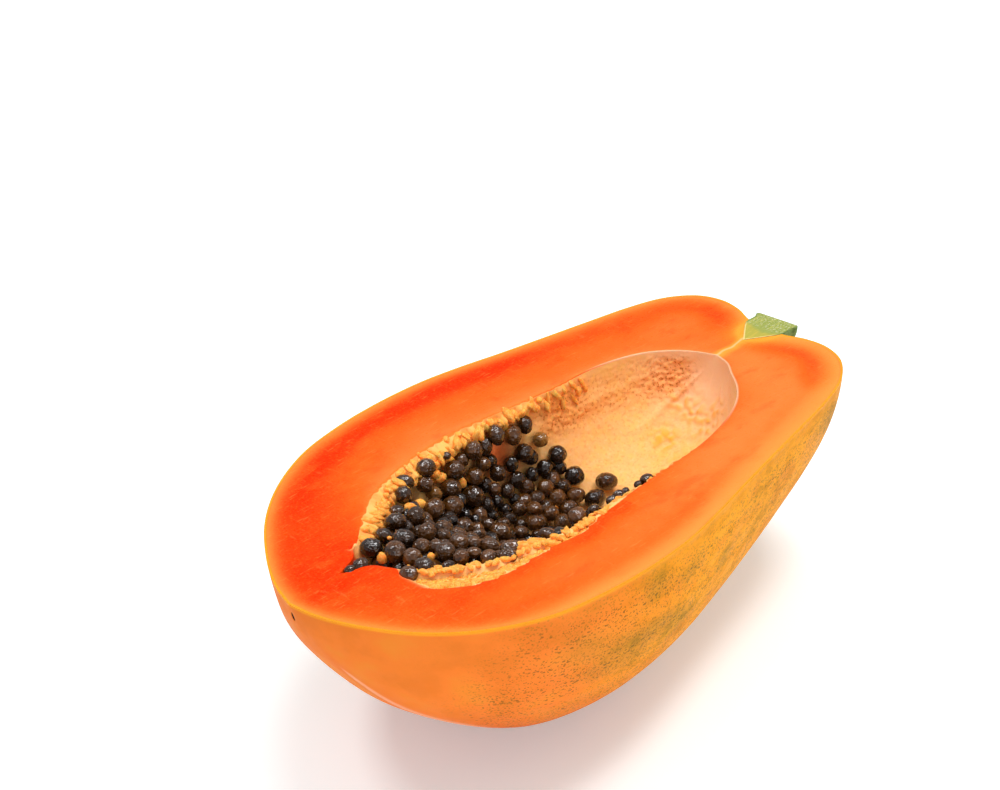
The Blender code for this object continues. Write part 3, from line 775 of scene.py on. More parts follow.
# %% Finish: cut flesh and lining
FLESH_IOR = 1.37
FLESH_GLOSS = 0.05
LIGHT_INTO_FLESH = 0.0016
FLESH_MASKS = (
    "ripe", "from_skin", "to_hollow", "ledge", "zone", "glow", "rim", "vein_off", "vein_on", "core",
    "frill", "band", "raw", "yolk", "blush", "torn", "lining",
)
FLESH_WAVES = {
    "mottle": (7.0, 4.0, (0.5, 1.0, 1.0)),
    "hair": (1.1, 2.0, (0.16, 1.0, 1.0)),
    "hair_across": (1.3, 2.0, (1.0, 0.2, 1.0)),
    "grain": (0.9, 3.0, EVEN),
    "cloud": (3.2, 4.0, EVEN),
    "stipple": (1.15, 2.0, EVEN),
}
FLESH_STEPS = {
    "rosy": ("ripe", 0.0, 0.55),
    "deep": ("ripe", 0.45, 1.0),
    "pale": ("mottle", 0.50, 0.72),
    "dark": ("mottle", 0.46, 0.30),
    "fibre": ("hair", 0.60, 0.74),
    "fibre_across": ("hair_across", 0.62, 0.76),
    "fine": ("grain", 0.52, 0.70),
    "pulp": ("ledge", -0.25, 0.25),
    "rind": ("from_skin", 1.1, 0.4),
    "rim_line": ("to_hollow", 1.0, 0.1),
    "vein": ("vein_off", -0.8, 0.0),
    "vein_end": ("vein_off", 0.8, 0.0),
    "vein_glow": ("vein_off", -4.2, -0.6),
    "vein_glow_end": ("vein_off", 3.0, 0.0),
    "cloudy": ("cloud", 0.44, 0.62),
    "crest": ("frill", 0.30, 0.75),
    "gap": ("frill", 0.34, 0.05),
    "pit": ("stipple", 0.55, 0.66),
    "gleam": ("stipple", 0.40, 0.33),
}
FLESH_LAYERS = (
    (("rosy",), 1.0, "#F25C16"),
    (("deep",), 1.0, "#EA2E00"),
    (("pale",), 0.26, "#F46C20"),
    (("dark",), 0.30, "#E83A04"),
    (("fibre",), 0.34, "#FF8640"),
    (("fibre_across",), 0.16, "#FF8C48"),
    (("fine",), 0.20, "#FF7E2C"),
    (("glow",), 0.85, "#F49440"),
    (("vein_glow", "vein_glow_end", "vein_on"), 0.75, "#FFA23A"),
    (("core",), 0.85, "#FFA136"),
    (("vein", "vein_end", "vein_on"), 0.65, "#FFC48C"),
    (("rind",), 0.85, "#EFA41A"),
    (("pulp", "zone"), 1.0, "#FFC079"),
    (("pulp", "zone", "cloudy"), 0.50, "#FFC468"),
    (("lining", "pit"), 0.45, "#F49A58"),
    (("lining", "gleam"), 0.40, "#FFD29A"),
    (("yolk",), 1.0, "#FFAC34"),
    (("blush",), 0.60, "#FFC2A0"),
    (("band",), 0.70, "#FFB052"),
    (("band", "gap"), 0.75, "#F06E20"),
    (("crest",), 0.60, "#FFBC62"),
    (("raw",), 0.70, "#F39248"),
    (("raw", "pit"), 0.85, "#B4601E"),
    (("raw", "gleam"), 0.60, "#FFC968"),
    # A darker red patch high on the far wall, above the heap.
    (("torn",), 0.85, "#EE5E26"),
    (("rim", "rim_line"), 0.75, "#FFD2AA"),
)


FLESH_FINISH = finish(
    "ripe_papaya_flesh",
    ("#F47A36", FLESH_MASKS, FLESH_WAVES, {}, FLESH_STEPS, FLESH_LAYERS),
    gloss=("grain", 0.35, 0.65, 0.26, 0.48),
    relief=(("grain", 0.6), ("hair", 0.35), ("mottle", 1.6)),
    bump=(0.35, 0.35),
    IOR=FLESH_IOR,
    Specular_IOR_Level=FLESH_GLOSS,
    Subsurface_Weight=0.10,
    Subsurface_Scale=LIGHT_INTO_FLESH,
)

# %% [markdown]
# Papaya skin is a tough leathery peel with a thin natural wax, so it shines softly, never like glass. It
# ripens from the blossom end: peach-orange there, golden towards the stalk, with olive haze where green
# is left and a pink blush below. By the stalk the olive haze is made darker as painted shade of the stalk,
# and the ridge near the blossom end gets a painted highlight on its crest and painted shade beside it.
# Tiny brown-green specks, where latex dried, stand in loose rows along the fruit. The real specks are 0.4
# to 0.9 mm wide, which is just what a picture of this size can show.

# %% Finish: skin
SKIN_MASKS_USED = ("lip", "gold", "blush", "haze", "dotted", "ridge", "scar")
SKIN_WAVES = {
    "cloud": (16.0, 4.0, (0.6, 1.0, 1.0)),
    "patch": (5.0, 4.0, (0.7, 1.0, 1.0)),
    "rows": (7.0, 2.0, (0.10, 1.0, 1.0)),
    "cluster": (12.0, 3.0, (0.7, 1.0, 1.0)),
    "pores": (1.0, 3.0, EVEN),
    "scuff": (1.8, 4.0, (0.5, 1.0, 1.0)),
}
SKIN_CELLS = {
    "speck_cell": (1.25, EVEN),
    "dash_cell": (1.5, (0.5, 1.0, 1.0)),
    "dust_cell": (1.1, EVEN),
}
SKIN_STEPS = {
    "bright": ("cloud", 0.48, 0.66),
    "dull": ("cloud", 0.50, 0.34),
    "patchy": ("patch", 0.50, 0.66),
    "crowd": ("cluster", 0.30, 0.46),
    "row": ("rows", 0.46, 0.56),
    "speck": ("speck_cell", 0.32, 0.20),
    "dash": ("dash_cell", 0.31, 0.19),
    "dust": ("dust_cell", 0.42, 0.22),
    "scuffed": ("scuff", 0.52, 0.66),
    "smooth_gold": ("scuff", 0.46, 0.34),
    "away": ("lip", 2.0, 9.0),
    "under_cut": ("lip", 9.0, 1.5),
    "edge": ("lip", 1.6, 0.5),
    # The ridge's crest gets a painted highlight, and its sides get painted shade.
    "crest": ("ridge", 0.72, 1.0),
    "ridge_shade": ("ridge", 0.05, 0.5),
    "scarred": ("scar", 0.25, 0.6),
}
SKIN_LAYERS = (
    (("gold",), 1.0, "#F29C08"),
    (("bright",), 0.40, "#E68C2A"),
    (("dull",), 0.35, "#D26A18"),
    (("gold", "patchy"), 0.40, "#CC7C0C"),
    (("blush",), 0.75, "#D85C22"),
    # Haze layers: olive haze, and by the stalk also painted shade of the stalk.
    (("haze",), 0.70, "#94701A"),
    (("haze", "patchy"), 0.50, "#6E6420"),
    (("haze", "dust"), 0.60, "#565616"),
    (("gold", "scuffed"), 0.40, "#C07818"),
    (("gold", "smooth_gold"), 0.30, "#F8A810"),
    (("dotted", "crowd", "dust"), 0.45, "#A46E18"),
    (("dotted", "crowd", "speck", "away"), 0.66, "#644A14"),
    (("dotted", "row", "dash", "away"), 0.66, "#544414"),
    (("haze", "dash"), 0.60, "#3E4A1A"),
    # Painted shade beside the ridge, then a painted highlight along its crest.
    (("ridge_shade",), 0.25, "#E0682A"),
    (("crest",), 0.55, "#F8B594"),
    (("under_cut", "gold"), 0.45, "#DC8C16"),
    (("edge",), 0.75, "#F29C18"),
    (("scarred",), 1.0, "#1E140C"),
)


SKIN_FINISH = finish(
    "waxy_papaya_skin",
    ("#EC7A28", SKIN_MASKS_USED, SKIN_WAVES, SKIN_CELLS, SKIN_STEPS, SKIN_LAYERS),
    gloss=("patch", 0.3, 0.7, 0.50, 0.66),
    relief=(("pores", 0.25), ("patch", 1.0)),
    bump=(0.3, 0.3),
    IOR=1.45,
    Specular_IOR_Level=0.08,
    Subsurface_Weight=0.06,
    Subsurface_Scale=0.8 * MM,
)

# %% [markdown]
# How red the flesh is could be noise alone, but a real fruit colours by a plan: deep in the outer third
# of the far wall and at the blossom end, deep again along the near pulp, pale beside the stalk half of
# the hollow. The plan is a few soft bumps over the distances to skin and hollow, kept as a mask.

# %% The half fruit
# Redness of each region by itself, 0 to 1
FAR_RED, NEAR_RED, BLOSSOM_RED, STALK_RED, LINING_RED = 0.32, 0.30, 0.90, 0.20, 0.8
# Bands of red at a distance from the skin, or from the ledge: strength, middle, spread
FAR_BAND, FAR_INNER_BAND = (0.62, 10.0, 8.0), (0.16, 23.0, 9.0)
NEAR_BAND, STALK_BAND = (0.22, 10.0, 4.0), (0.55, 11.0, 6.0)
LEDGE_BAND, LEDGE_BAND_UNTIL = (0.25, -3.5, 4.0), 118
# Gains and losses at an edge, which fade with distance from it: strength, reach
FAR_BY_HOLLOW, NEAR_BY_HOLLOW, STALK_BY_HOLLOW = (-0.30, 3), (0.36, 7), (-0.2, 4)
NEAR_BY_SKIN, BLOSSOM_BY_SKIN = (-0.55, 3.0), (-0.35, 4.0)
# Losses along the fruit or across it: strength, start, end
FAR_PALES, NEAR_PALES, BLOSSOM_PALES = (0.45, 150.0, 205.0), (0.30, 105.0, 175.0), (0.18, 0.0, 30.0)
# Where far side, blossom end and stalk end take over, and how little the last does on the far side
SIDES_MEET, BLOSSOM_ENDS, STALK_STARTS, STALK_FAR_LOSS = (-8.0, 8.0), (30.0, 78.0), (214.0, 234.0), 0.6
# Clouds of red everywhere: strength, grain, seed, stretch
RED_CLOUDS = ((0.10, 16.0, 20.0, ALONG_FRUIT), (0.05, 5.0, 21.0, EVEN))
# Where the hollow's pale rim line shows, and where the lining's stippling starts below the rim
RIM_LINE_FROM = (176.0, 200.0)
STIPPLE_FROM, STIPPLE_LOSS = (3.0, 9.0), 0.7
# The lining counts as pulp, well inside the ledge's edge and far from the skin
INSIDE_LEDGE, OFF_SKIN = 5.0, 50.0


def band(value, strength, middle, spread):
    """A band of this strength."""
    return strength * bump_at(value, middle, spread)


def fading(distance, strength, reach):
    """A gain or loss that fades with distance."""
    return strength * np.exp(-distance / reach)


def ripeness(points, masks):
    """How red the flesh is at each point of the cut face, 0 to 1."""
    skin, hollow = masks["from_skin"], masks["to_hollow"]
    x, y = points[..., 0], points[..., 1]
    far = band(skin, *FAR_BAND) + band(skin, *FAR_INNER_BAND)
    far = FAR_RED + far * (1 - FAR_PALES[0] * ease(x, *FAR_PALES[1:])) + fading(hollow, *FAR_BY_HOLLOW)
    near = NEAR_RED + fading(hollow, *NEAR_BY_HOLLOW) + band(skin, *NEAR_BAND) + fading(skin, *NEAR_BY_SKIN)
    near = near - NEAR_PALES[0] * ease(x, *NEAR_PALES[1:])
    near = near + band(masks["ledge"], *LEDGE_BAND) * (x < LEDGE_BAND_UNTIL)
    blossom = BLOSSOM_RED + fading(skin, *BLOSSOM_BY_SKIN) - BLOSSOM_PALES[0] * ease(-y, *BLOSSOM_PALES[1:])
    stalk = STALK_RED + band(skin, *STALK_BAND) + fading(hollow, *STALK_BY_HOLLOW)
    side = ease(y, *SIDES_MEET)
    ripe = side * far + (1 - side) * near
    ripe = ripe + (blossom - ripe) * (1 - ease(x, *BLOSSOM_ENDS))
    ripe = ripe + (stalk - ripe) * ease(x, *STALK_STARTS) * (1 - STALK_FAR_LOSS * side)
    for strength, *cloud in RED_CLOUDS:
        ripe = ripe + strength * ripple(points, *cloud)
    return ripe


def build_half():
    """Skin, cut face and lining as one closed body."""
    drop = LINING_MASKS["drop"]
    face_masks = dict(
        FACE_MASKS,
        ripe=ripeness(FACE_POINTS, FACE_MASKS),
        rim=ease(FACE_POINTS[..., 0], *RIM_LINE_FROM),
    )
    lining_masks = dict(
        LINING_MASKS,
        to_hollow=drop,
        ripe=np.full_like(drop, LINING_RED),
        ledge=np.full_like(drop, INSIDE_LEDGE),
        from_skin=np.full_like(drop, OFF_SKIN),
        zone=ease(LINING_POINTS[..., 0], *PULP_FROM),
        rim=ease(LINING_POINTS[..., 0], *RIM_LINE_FROM),
        lining=ease(drop, *STIPPLE_FROM) * (1 - STIPPLE_LOSS * LINING_MASKS["blush"]),
    )
    sheets = (
        (SKIN_POINTS, SKIN_MASKS, 0),
        (FACE_POINTS, face_masks, 1),
        (LINING_POINTS, lining_masks, 1),
    )
    return welded_piece("papaya_half", sheets, (SKIN_FINISH, FLESH_FINISH))


half = build_half()
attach(half, "root")
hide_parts("fruit")
print("half fruit:", len(half.data.polygons), "faces")

# %% [markdown]
# The seeds lie in their wet skins as they grew: a full heap at the blossom end that thins to a coat on
# the wall. A scatter tool would do, but the eye knows this heap from the photograph. So each seed in
# view is read off a part of it, enlarged: where it is, how wide and high, how far it hides behind its
# neighbours and how brown it looks, which for the deep seeds also holds painted shade. Its line of sight
# is then followed down to the surface of the heap.

# %% The surface of the heap
COAT = 7.0
COAT_END = 4.0
COAT_THINS = (118.0, 146.0)
FILLED_UNTIL = 55.0
OPEN_FROM = 125.0
HEAP_BELOW_RIM = 2.4
SEED_LENGTH = 7.6
SEED_WIDTH = 6.9
SEED_RADIUS = (SEED_LENGTH + 2 * SEED_WIDTH) / 6


def hollow_at(x):
    """Half widths and depth of the hollow at places along the fruit: far, near, depth."""
    return [np.interp(x, HOLLOW_CURVE[:, 0], HOLLOW_CURVE[:, i]) for i in (1, 2, 3)]


def wall_height(x, y, inset=0.0):
    """Height of the hollow's wall, or of a shell set in from it, under places of the cut face."""
    far, near, depth = hollow_at(x)
    side = np.maximum(np.where(np.asarray(y) > 0, far, near) - inset, MM)
    room = np.maximum(1 - np.abs(y / side) ** HOLLOW_SQUARENESS, 0.0)
    return -np.maximum(depth - inset, 0.0) * room ** (1 / HOLLOW_SQUARENESS)


def heap_height(x, y):
    """Height of the heap: level near the blossom end, a coat on the wall further on."""
    opened = ease(x, FILLED_UNTIL, OPEN_FROM)
    coat = COAT + (COAT_END - COAT) * ease(x, *COAT_THINS)
    return -HEAP_BELOW_RIM + opened * np.minimum(wall_height(x, y, coat) + HEAP_BELOW_RIM, 0.0)


print("heap at its middle:", round(float(heap_height(95.0, 0.0)), 1), "mm")

# %% [markdown]
# The places in view are kept as they were read, across and down in an enlarged part of the photograph.
# A line of sight carries each into the fruit, so the heap stays right if the camera is corrected.

# %% Seeds in view
# The enlargement's corner in the photograph, and its factor
ZOOM_CORNER = (330.0, 410.0)
ZOOM = 1400.0 / 340.0
# Each seed: across, down, width, height, millimetres behind the surface, brownness, which is lower for the
# deep seeds as painted shade
SEEDS_IN_VIEW = (
    (683, 105, 68, 88, 0, 0.35), (753, 103, 72, 88, 0, 0.55), (806, 95, 62, 76, 2, 0.25),
    (866, 122, 66, 64, 0, 1.0), (640, 148, 60, 78, 2, 0.3), (588, 168, 78, 82, 0, 0.45),
    (937, 190, 78, 78, 0, 0.2), (803, 180, 82, 78, 0, 0.25), (540, 207, 68, 62, 2, 0.4),
    (480, 188, 38, 34, 1, 0.3), (395, 243, 84, 78, 0, 0.4), (515, 245, 90, 86, 0, 0.4),
    (630, 222, 68, 64, 1, 0.45), (745, 222, 64, 68, 1, 0.15), (822, 230, 64, 68, 3, 0.1),
    (890, 250, 70, 78, 1, 0.1), (945, 258, 58, 60, 3, 0.1), (1005, 272, 82, 82, 0, 0.15),
    (687, 255, 68, 74, 1, 0.3), (595, 275, 78, 78, 0, 0.5), (308, 297, 80, 60, 1, 0.3),
    (393, 303, 76, 72, 0, 0.4), (302, 350, 72, 74, 0, 0.3), (425, 345, 70, 62, 1, 0.85),
    (497, 322, 92, 82, 0, 0.35), (771, 290, 74, 74, 1, 0.2), (830, 290, 60, 64, 3, 0.05),
    (955, 310, 66, 70, 1, 0.3), (893, 320, 72, 72, 0, 0.55), (1010, 350, 78, 70, 0, 0.5),
    (633, 312, 52, 66, 2, 0.2), (585, 355, 94, 88, 0, 0.3), (677, 330, 60, 62, 2, 0.45),
    (728, 332, 62, 68, 1, 0.3), (933, 368, 74, 76, 0, 0.6), (845, 368, 72, 62, 1, 0.35),
    (1138, 293, 94, 76, 0, 0.35), (1092, 365, 90, 76, 0, 0.2), (427, 410, 86, 94, 0, 0.55),
    (505, 397, 88, 88, 0, 0.45), (355, 440, 78, 86, 0, 0.3), (275, 420, 68, 54, 2, 0.35),
    (268, 462, 96, 70, 0, 0.3), (640, 395, 60, 68, 2, 0.2), (770, 372, 52, 50, 3, 0.1),
    (720, 412, 56, 50, 3, 0.1), (777, 405, 64, 66, 1, 0.35), (840, 413, 74, 66, 0, 0.6),
    (905, 430, 68, 68, 0, 0.5), (982, 402, 82, 68, 0, 0.4), (1025, 448, 78, 82, 0, 0.6),
    (955, 467, 76, 82, 0, 0.5), (735, 443, 64, 54, 2, 0.2), (665, 432, 52, 50, 3, 0.1),
    (600, 457, 54, 52, 3, 0.05), (556, 432, 56, 52, 3, 0.1), (225, 517, 80, 60, 1, 0.3),
    (170, 568, 96, 84, 0, 0.15), (305, 530, 96, 82, 0, 0.25), (400, 505, 78, 84, 0, 0.45),
    (468, 487, 78, 64, 1, 0.4), (500, 457, 72, 48, 3, 0.15), (557, 485, 78, 74, 0, 0.4),
    (467, 517, 64, 56, 2, 0.4), (530, 548, 82, 82, 0, 0.5), (267, 588, 96, 96, 0, 0.45),
    (383, 562, 76, 68, 1, 0.5), (340, 612, 84, 88, 0, 0.5), (432, 562, 64, 64, 1, 0.4),
    (475, 585, 88, 84, 0, 0.35), (593, 550, 66, 62, 1, 0.5), (590, 588, 66, 50, 1, 0.55),
    (540, 610, 70, 62, 0, 0.55), (385, 647, 88, 80, 0, 0.3), (325, 690, 82, 74, 0, 0.5),
    (487, 643, 64, 50, 1, 0.3), (660, 562, 86, 68, 1, 0.45), (700, 510, 100, 88, 0, 0.5),
    (650, 472, 64, 58, 2, 0.35), (712, 472, 66, 56, 2, 0.4), (785, 472, 56, 50, 3, 0.3),
    (847, 472, 78, 68, 0, 0.5), (782, 507, 70, 56, 1, 0.45), (900, 515, 80, 60, 1, 0.35),
    (658, 613, 74, 74, 0, 0.55), (748, 573, 94, 74, 0, 0.45), (735, 615, 80, 68, 0, 0.35),
    (605, 512, 66, 54, 2, 0.4), (860, 512, 58, 50, 2, 0.35), (682, 382, 52, 56, 3, 0.1),
)
# Bits of pulp between the seeds: across, down, width, height, millimetres behind the surface
PULP_IN_VIEW = (
    (452, 280, 60, 44, 2.5), (365, 388, 70, 44, 3.0), (330, 402, 60, 40, 3.0), (546, 302, 34, 46, 3.0),
    (245, 527, 20, 18, -1.5), (602, 503, 34, 22, 0.0), (418, 602, 34, 30, 1.0), (447, 655, 50, 36, 1.5),
    (322, 652, 22, 32, -1.0), (352, 688, 18, 18, 0.0), (520, 655, 56, 36, 1.5), (600, 640, 60, 40, 1.5),
    (215, 610, 44, 52, 1.0), (440, 265, 40, 40, 2.5), (930, 400, 20, 20, 1.0), (790, 562, 90, 50, -1.5),
    (850, 548, 96, 54, -1.5), (908, 552, 76, 40, -1.5), (950, 530, 60, 34, -1.5), (745, 598, 60, 44, -1.0),
)
# Slivers of seeds sunk behind the near rim: across, down, width
SLIVERS_IN_VIEW = (
    (1160, 366, 56), (1190, 343, 58), (1216, 328, 40), (1268, 300, 40), (1306, 280, 62), (1088, 402, 50),
    (916, 556, 40),
)
SLIVER_DEPTH = 1.7
# Seeds in the slit at the blossom end: along the fruit, across, up, share of the full size
SLIT_SEEDS = (
    (27.0, -0.4, -0.7, 0.62),
    (31.6, -0.4, -1.1, 0.88),
)
# Steps along a line of sight, and the height where the search for the heap stops
SIGHT_STEP = 0.2
SEARCH_END = -60.0


def zoomed_line(across, down):
    """Line of sight through a place of the enlargement."""
    return sight_line(ZOOM_CORNER[0] + across / ZOOM, ZOOM_CORNER[1] + down / ZOOM)


def on_heap(across, down, behind):
    """Where the line of sight through a place of the enlargement meets the heap, and its distance."""
    line = zoomed_line(across, down)
    eye = np.array(CAMERA_PLACE)
    reach = np.arange(-eye[2] / line[2], (SEARCH_END - eye[2]) / line[2], SIGHT_STEP)
    track = eye + reach[:, None] * line
    first = int(np.argmax(track[:, 2] <= heap_height(track[:, 0], track[:, 1])))
    return track[first] + behind * line, reach[first]


def seen_size(pixels, distance):
    """Millimetres across, at a distance from the camera, of a width in the enlargement."""
    return pixels / ZOOM * distance / FOCAL_PIXELS


def seeds_in_view():
    """Middle, width, height and brownness of each seed in view, the deep ones darker as painted shade."""
    rows = []
    for across, down, width, height, behind, brown in SEEDS_IN_VIEW:
        middle, distance = on_heap(across, down, behind)
        rows.append((*middle, seen_size(width, distance), seen_size(height, distance), brown))
    return np.array(rows)


IN_VIEW = seeds_in_view()
print("seeds in view:", len(IN_VIEW), "mean width", round(float(IN_VIEW[:, 3].mean()), 1), "mm")

# %% [markdown]
# Under and behind them lie the seeds that the camera doesn't see. Rows over the heap's surface and two
# layers below give each a first place, away from the seeds in view, and then all push each other apart
# until none cross, which packs them the way a heap settles. The seeds in view hold their places best.

# %% The seeds below
SEED_SIZES = (0.86, 1.05)
SEED_ROW_STEP = 6.3
SEED_SPACING = 7.0
SEED_JITTER = 1.1
SEED_START = 42.0
SEED_LIMIT = 152.0
SEED_LIMIT_BEND = 0.014
FROM_FAR_RIM = 11.0
FROM_NEAR_RIM = 6.4
LAYER_DEPTHS = (0.0, 3.8, 9.4, 15.0)
PUSHES = 50
PUSH_STRENGTH = 0.3
# Radii that count while the seeds settle, as shares of the real ones, and how far they may rise
VIEW_RADIUS, HIDDEN_RADIUS, WALL_RADIUS = 0.95, 0.97, 0.8
VIEW_RISE, TOP_RISE, DEEP_RISE = 1.2, 0.3, -3.0
ROOT_DEPTH = 0.1
CLEAR_OF_VIEW = 0.56
HOLD_SEEN, HOLD_HIDDEN = 0.35, 0.03


def heap_limit(y):
    """Where the heap ends towards the stem."""
    return SEED_LIMIT - SEED_LIMIT_BEND * y ** 2


def row_of_seeds(x, depth_down, shift):
    """Even places across the heap at one place along the fruit, on a layer some way down."""
    far, near, _ = hollow_at(x)
    across = np.linspace(-near + FROM_NEAR_RIM, far - FROM_FAR_RIM, 160)
    if across[0] >= across[-1]:
        return []
    heights = heap_height(x, across) - depth_down
    travel = np.concatenate([[0.0], np.cumsum(np.hypot(np.diff(across), np.diff(heights)))])
    count = max(round(travel[-1] / SEED_SPACING), 1)
    stops = [(k + shift / 2) * travel[-1] / count for k in range(count + 1 - shift)]
    return [(x, float(np.interp(s, travel, across)), float(np.interp(s, travel, heights))) for s in stops]


def in_sight(spots):
    """True for places that the camera sees through the mouth of the hollow."""
    eye = np.array(CAMERA_PLACE)
    share = eye[2] / (eye[2] - spots[:, 2])
    return inside_outline((eye + (spots - eye) * share[:, None])[:, :2], rim_loop(LINING_POINTS)[:, :2])


def settle(places, radii, hold, ceiling):
    """Pushes crossing seeds apart, and keeps them above the wall and under their ceiling."""
    start = places.copy()
    for _ in range(PUSHES):
        gap = places[:, None] - places[None]
        distance = np.linalg.norm(gap, axis=-1) + np.eye(len(places)) * 1e3
        overlap = np.maximum(radii[:, None] + radii[None] - distance, 0.0)
        push = (gap / distance[..., None] * overlap[..., None]).sum(axis=1)
        places = places + PUSH_STRENGTH * push + hold[:, None] * (start - places)
        lowest = wall_height(places[:, 0], places[:, 1], WALL_RADIUS * SEED_RADIUS)
        highest = heap_height(places[:, 0], places[:, 1]) + ceiling
        places[:, 2] = np.minimum(np.maximum(places[:, 2], lowest), highest)
    return places


def all_seeds():
    """Places and half sizes of the seeds in view and of the hidden ones, and the brownness of each."""
    draw = random.Random(7)
    hidden = []
    for layer, depth_down in enumerate(LAYER_DEPTHS):
        for i, x in enumerate(np.arange(SEED_START, SEED_LIMIT, SEED_ROW_STEP)):
            for spot in row_of_seeds(x + layer * SEED_ROW_STEP / 2, depth_down, (i + layer) % 2):
                spot = [value + draw.uniform(-SEED_JITTER, SEED_JITTER) for value in spot]
                size = draw.uniform(*SEED_SIZES)
                above_wall = spot[2] > wall_height(spot[0], spot[1], ROOT_DEPTH * SEED_RADIUS)
                if spot[0] < heap_limit(spot[1]) and (layer == 0 or above_wall):
                    hidden.append((*spot, size, layer))
    hidden = np.array(hidden)
    spots, top = hidden[:, :3], hidden[:, 4] == 0
    hidden = hidden[~(top & in_sight(spots))]
    off = np.linalg.norm(hidden[:, None, :3] - IN_VIEW[None, :, :3], axis=-1).min(axis=1)
    hidden = hidden[off > CLEAR_OF_VIEW * 2 * SEED_RADIUS]
    view_radii = IN_VIEW[:, 3:5].mean(axis=1) / 2
    radii = np.concatenate([VIEW_RADIUS * view_radii, HIDDEN_RADIUS * SEED_RADIUS * hidden[:, 3]])
    hold = np.concatenate([np.full(len(IN_VIEW), HOLD_SEEN), np.full(len(hidden), HOLD_HIDDEN)])
    rise = np.where(hidden[:, 4] == 0, TOP_RISE, DEEP_RISE)
    ceiling = np.concatenate([np.full(len(IN_VIEW), VIEW_RISE), rise])
    places = settle(np.vstack([IN_VIEW[:, :3], hidden[:, :3]]), radii, hold, ceiling)
    return places, hidden


SEED_PLACES, HIDDEN_SEEDS = all_seeds()
print("seeds in view and hidden:", len(IN_VIEW), len(HIDDEN_SEEDS))

# %% [markdown]
# A seed is a plump oval in a thin jelly skin that has dried in wrinkles. A sculpted seed copied about
# would show its copies, so each one is drawn from a small round grid with its own turn, size, dents,
# wrinkles and tone, and all seeds share one mesh, which stays light.

# %% The seeds' form
SEED_GRID = (34, 24)
HIDDEN_SEED_GRID = (18, 12)
SEED_DENT = 0.06
SEED_WRINKLE = 0.09
# Grain of dents and wrinkles, on a ball whose radius is 1, and how far the wrinkles lie inward
DENT_GRAIN, WRINKLE_GRAIN, WRINKLE_SINK = 0.85, 0.32, 0.35
SEED_TILT = 0.5


def round_grid(sides, rings):
    """Directions over a ball, and its faces: a fan at each pole with rings of four-sided faces between."""
    lift = np.linspace(0.0, math.pi, rings + 1)[1:-1]
    around = np.linspace(0.0, 2 * math.pi, sides, endpoint=False)
    ring = np.stack([
        np.cos(lift)[:, None] + 0 * around[None],
        np.sin(lift)[:, None] * np.cos(around)[None],
        np.sin(lift)[:, None] * np.sin(around)[None],
    ], axis=-1).reshape(-1, 3)
    points = np.vstack([[(1.0, 0.0, 0.0)], ring, [(-1.0, 0.0, 0.0)]])
    last = len(points) - 1
    faces = []
    for j in range(sides):
        k = (j + 1) % sides
        faces.append((0, 1 + j, 1 + k))
        faces.append((last, last - sides + k, last - sides + j))
        for i in range(rings - 2):
            row, after = 1 + i * sides, 1 + (i + 1) * sides
            faces.append((row + j, after + j, after + k, row + k))
    return points, faces


def random_turn(draw, most):
    """A turn about any axis, as a 3 by 3 array."""
    axis = Vector((draw.gauss(0, 1), draw.gauss(0, 1), draw.gauss(0, 1))).normalized()
    return np.array(Matrix.Rotation(draw.uniform(-most, most), 3, axis))


def many_bodies(name, parts, material, grids, tones=()):
    """One object from many small closed bodies, each with its grid's faces and, if given, its tone."""
    first, faces = 0, []
    for part, (_, body_faces) in zip(parts, grids):
        faces += [tuple(corner + first for corner in face) for face in body_faces]
        first += len(part)
    mesh = bpy.data.meshes.new(name)
    mesh.from_pydata(place(np.vstack(parts)).tolist(), [], faces)
    if tones:
        attribute = mesh.attributes.new("tone", "FLOAT", "POINT")
        values = np.concatenate([np.full(len(part), tone) for part, tone in zip(parts, tones)])
        attribute.data.foreach_set("value", values.astype(np.float32))
    mesh.shade_smooth()
    mesh.materials.append(material)
    return add_object(name, mesh)


def seed_body(middle, halves, number, turn, directions):
    """One wrinkled seed round its middle, its halves along the columns of the turn."""
    dents = ripple(directions, DENT_GRAIN, number + 0.3)
    wrinkles = ripple(directions, WRINKLE_GRAIN, number + 0.7)
    reach = 1 + SEED_DENT * dents + SEED_WRINKLE * (WRINKLE_SINK - np.abs(wrinkles))
    return np.array(middle) + (directions * np.array(halves) * reach[:, None]) @ turn.T


print("grid of one seed in view:", SEED_GRID)

# %% [markdown]
# The skin of a fresh papaya seed is a bag of clear jelly, the sarcotesta, round a black-brown seed. It
# stays wet, so it has a clear coat over a dark body, with broken bluish highlights where it wrinkles,
# and lets brown through where it is thin. Wrinkles are about a millimetre apart.

# %% Finish: wet seeds
SEED_WAVES = {
    "blotch": (2.6, 3.0, EVEN),
    "crease": (1.5, 1.0, EVEN),
    "fine": (0.45, 2.0, EVEN),
}
SEED_STEPS = {
    "brown": ("tone", 0.10, 0.70),
    "tan": ("tone", 0.62, 1.05),
    "thin": ("blotch", 0.50, 0.68),
    "black": ("blotch", 0.46, 0.34),
    "dry": ("crease", 0.56, 0.70),
}
SEED_LAYERS_OF_COLOUR = (
    (("brown",), 0.90, "#5E3612"),
    (("tan",), 0.85, "#94662C"),
    (("thin", "brown"), 0.60, "#7A4816"),
    (("black",), 0.60, "#0C0705"),
    (("dry", "brown"), 0.30, "#7E5A34"),
)


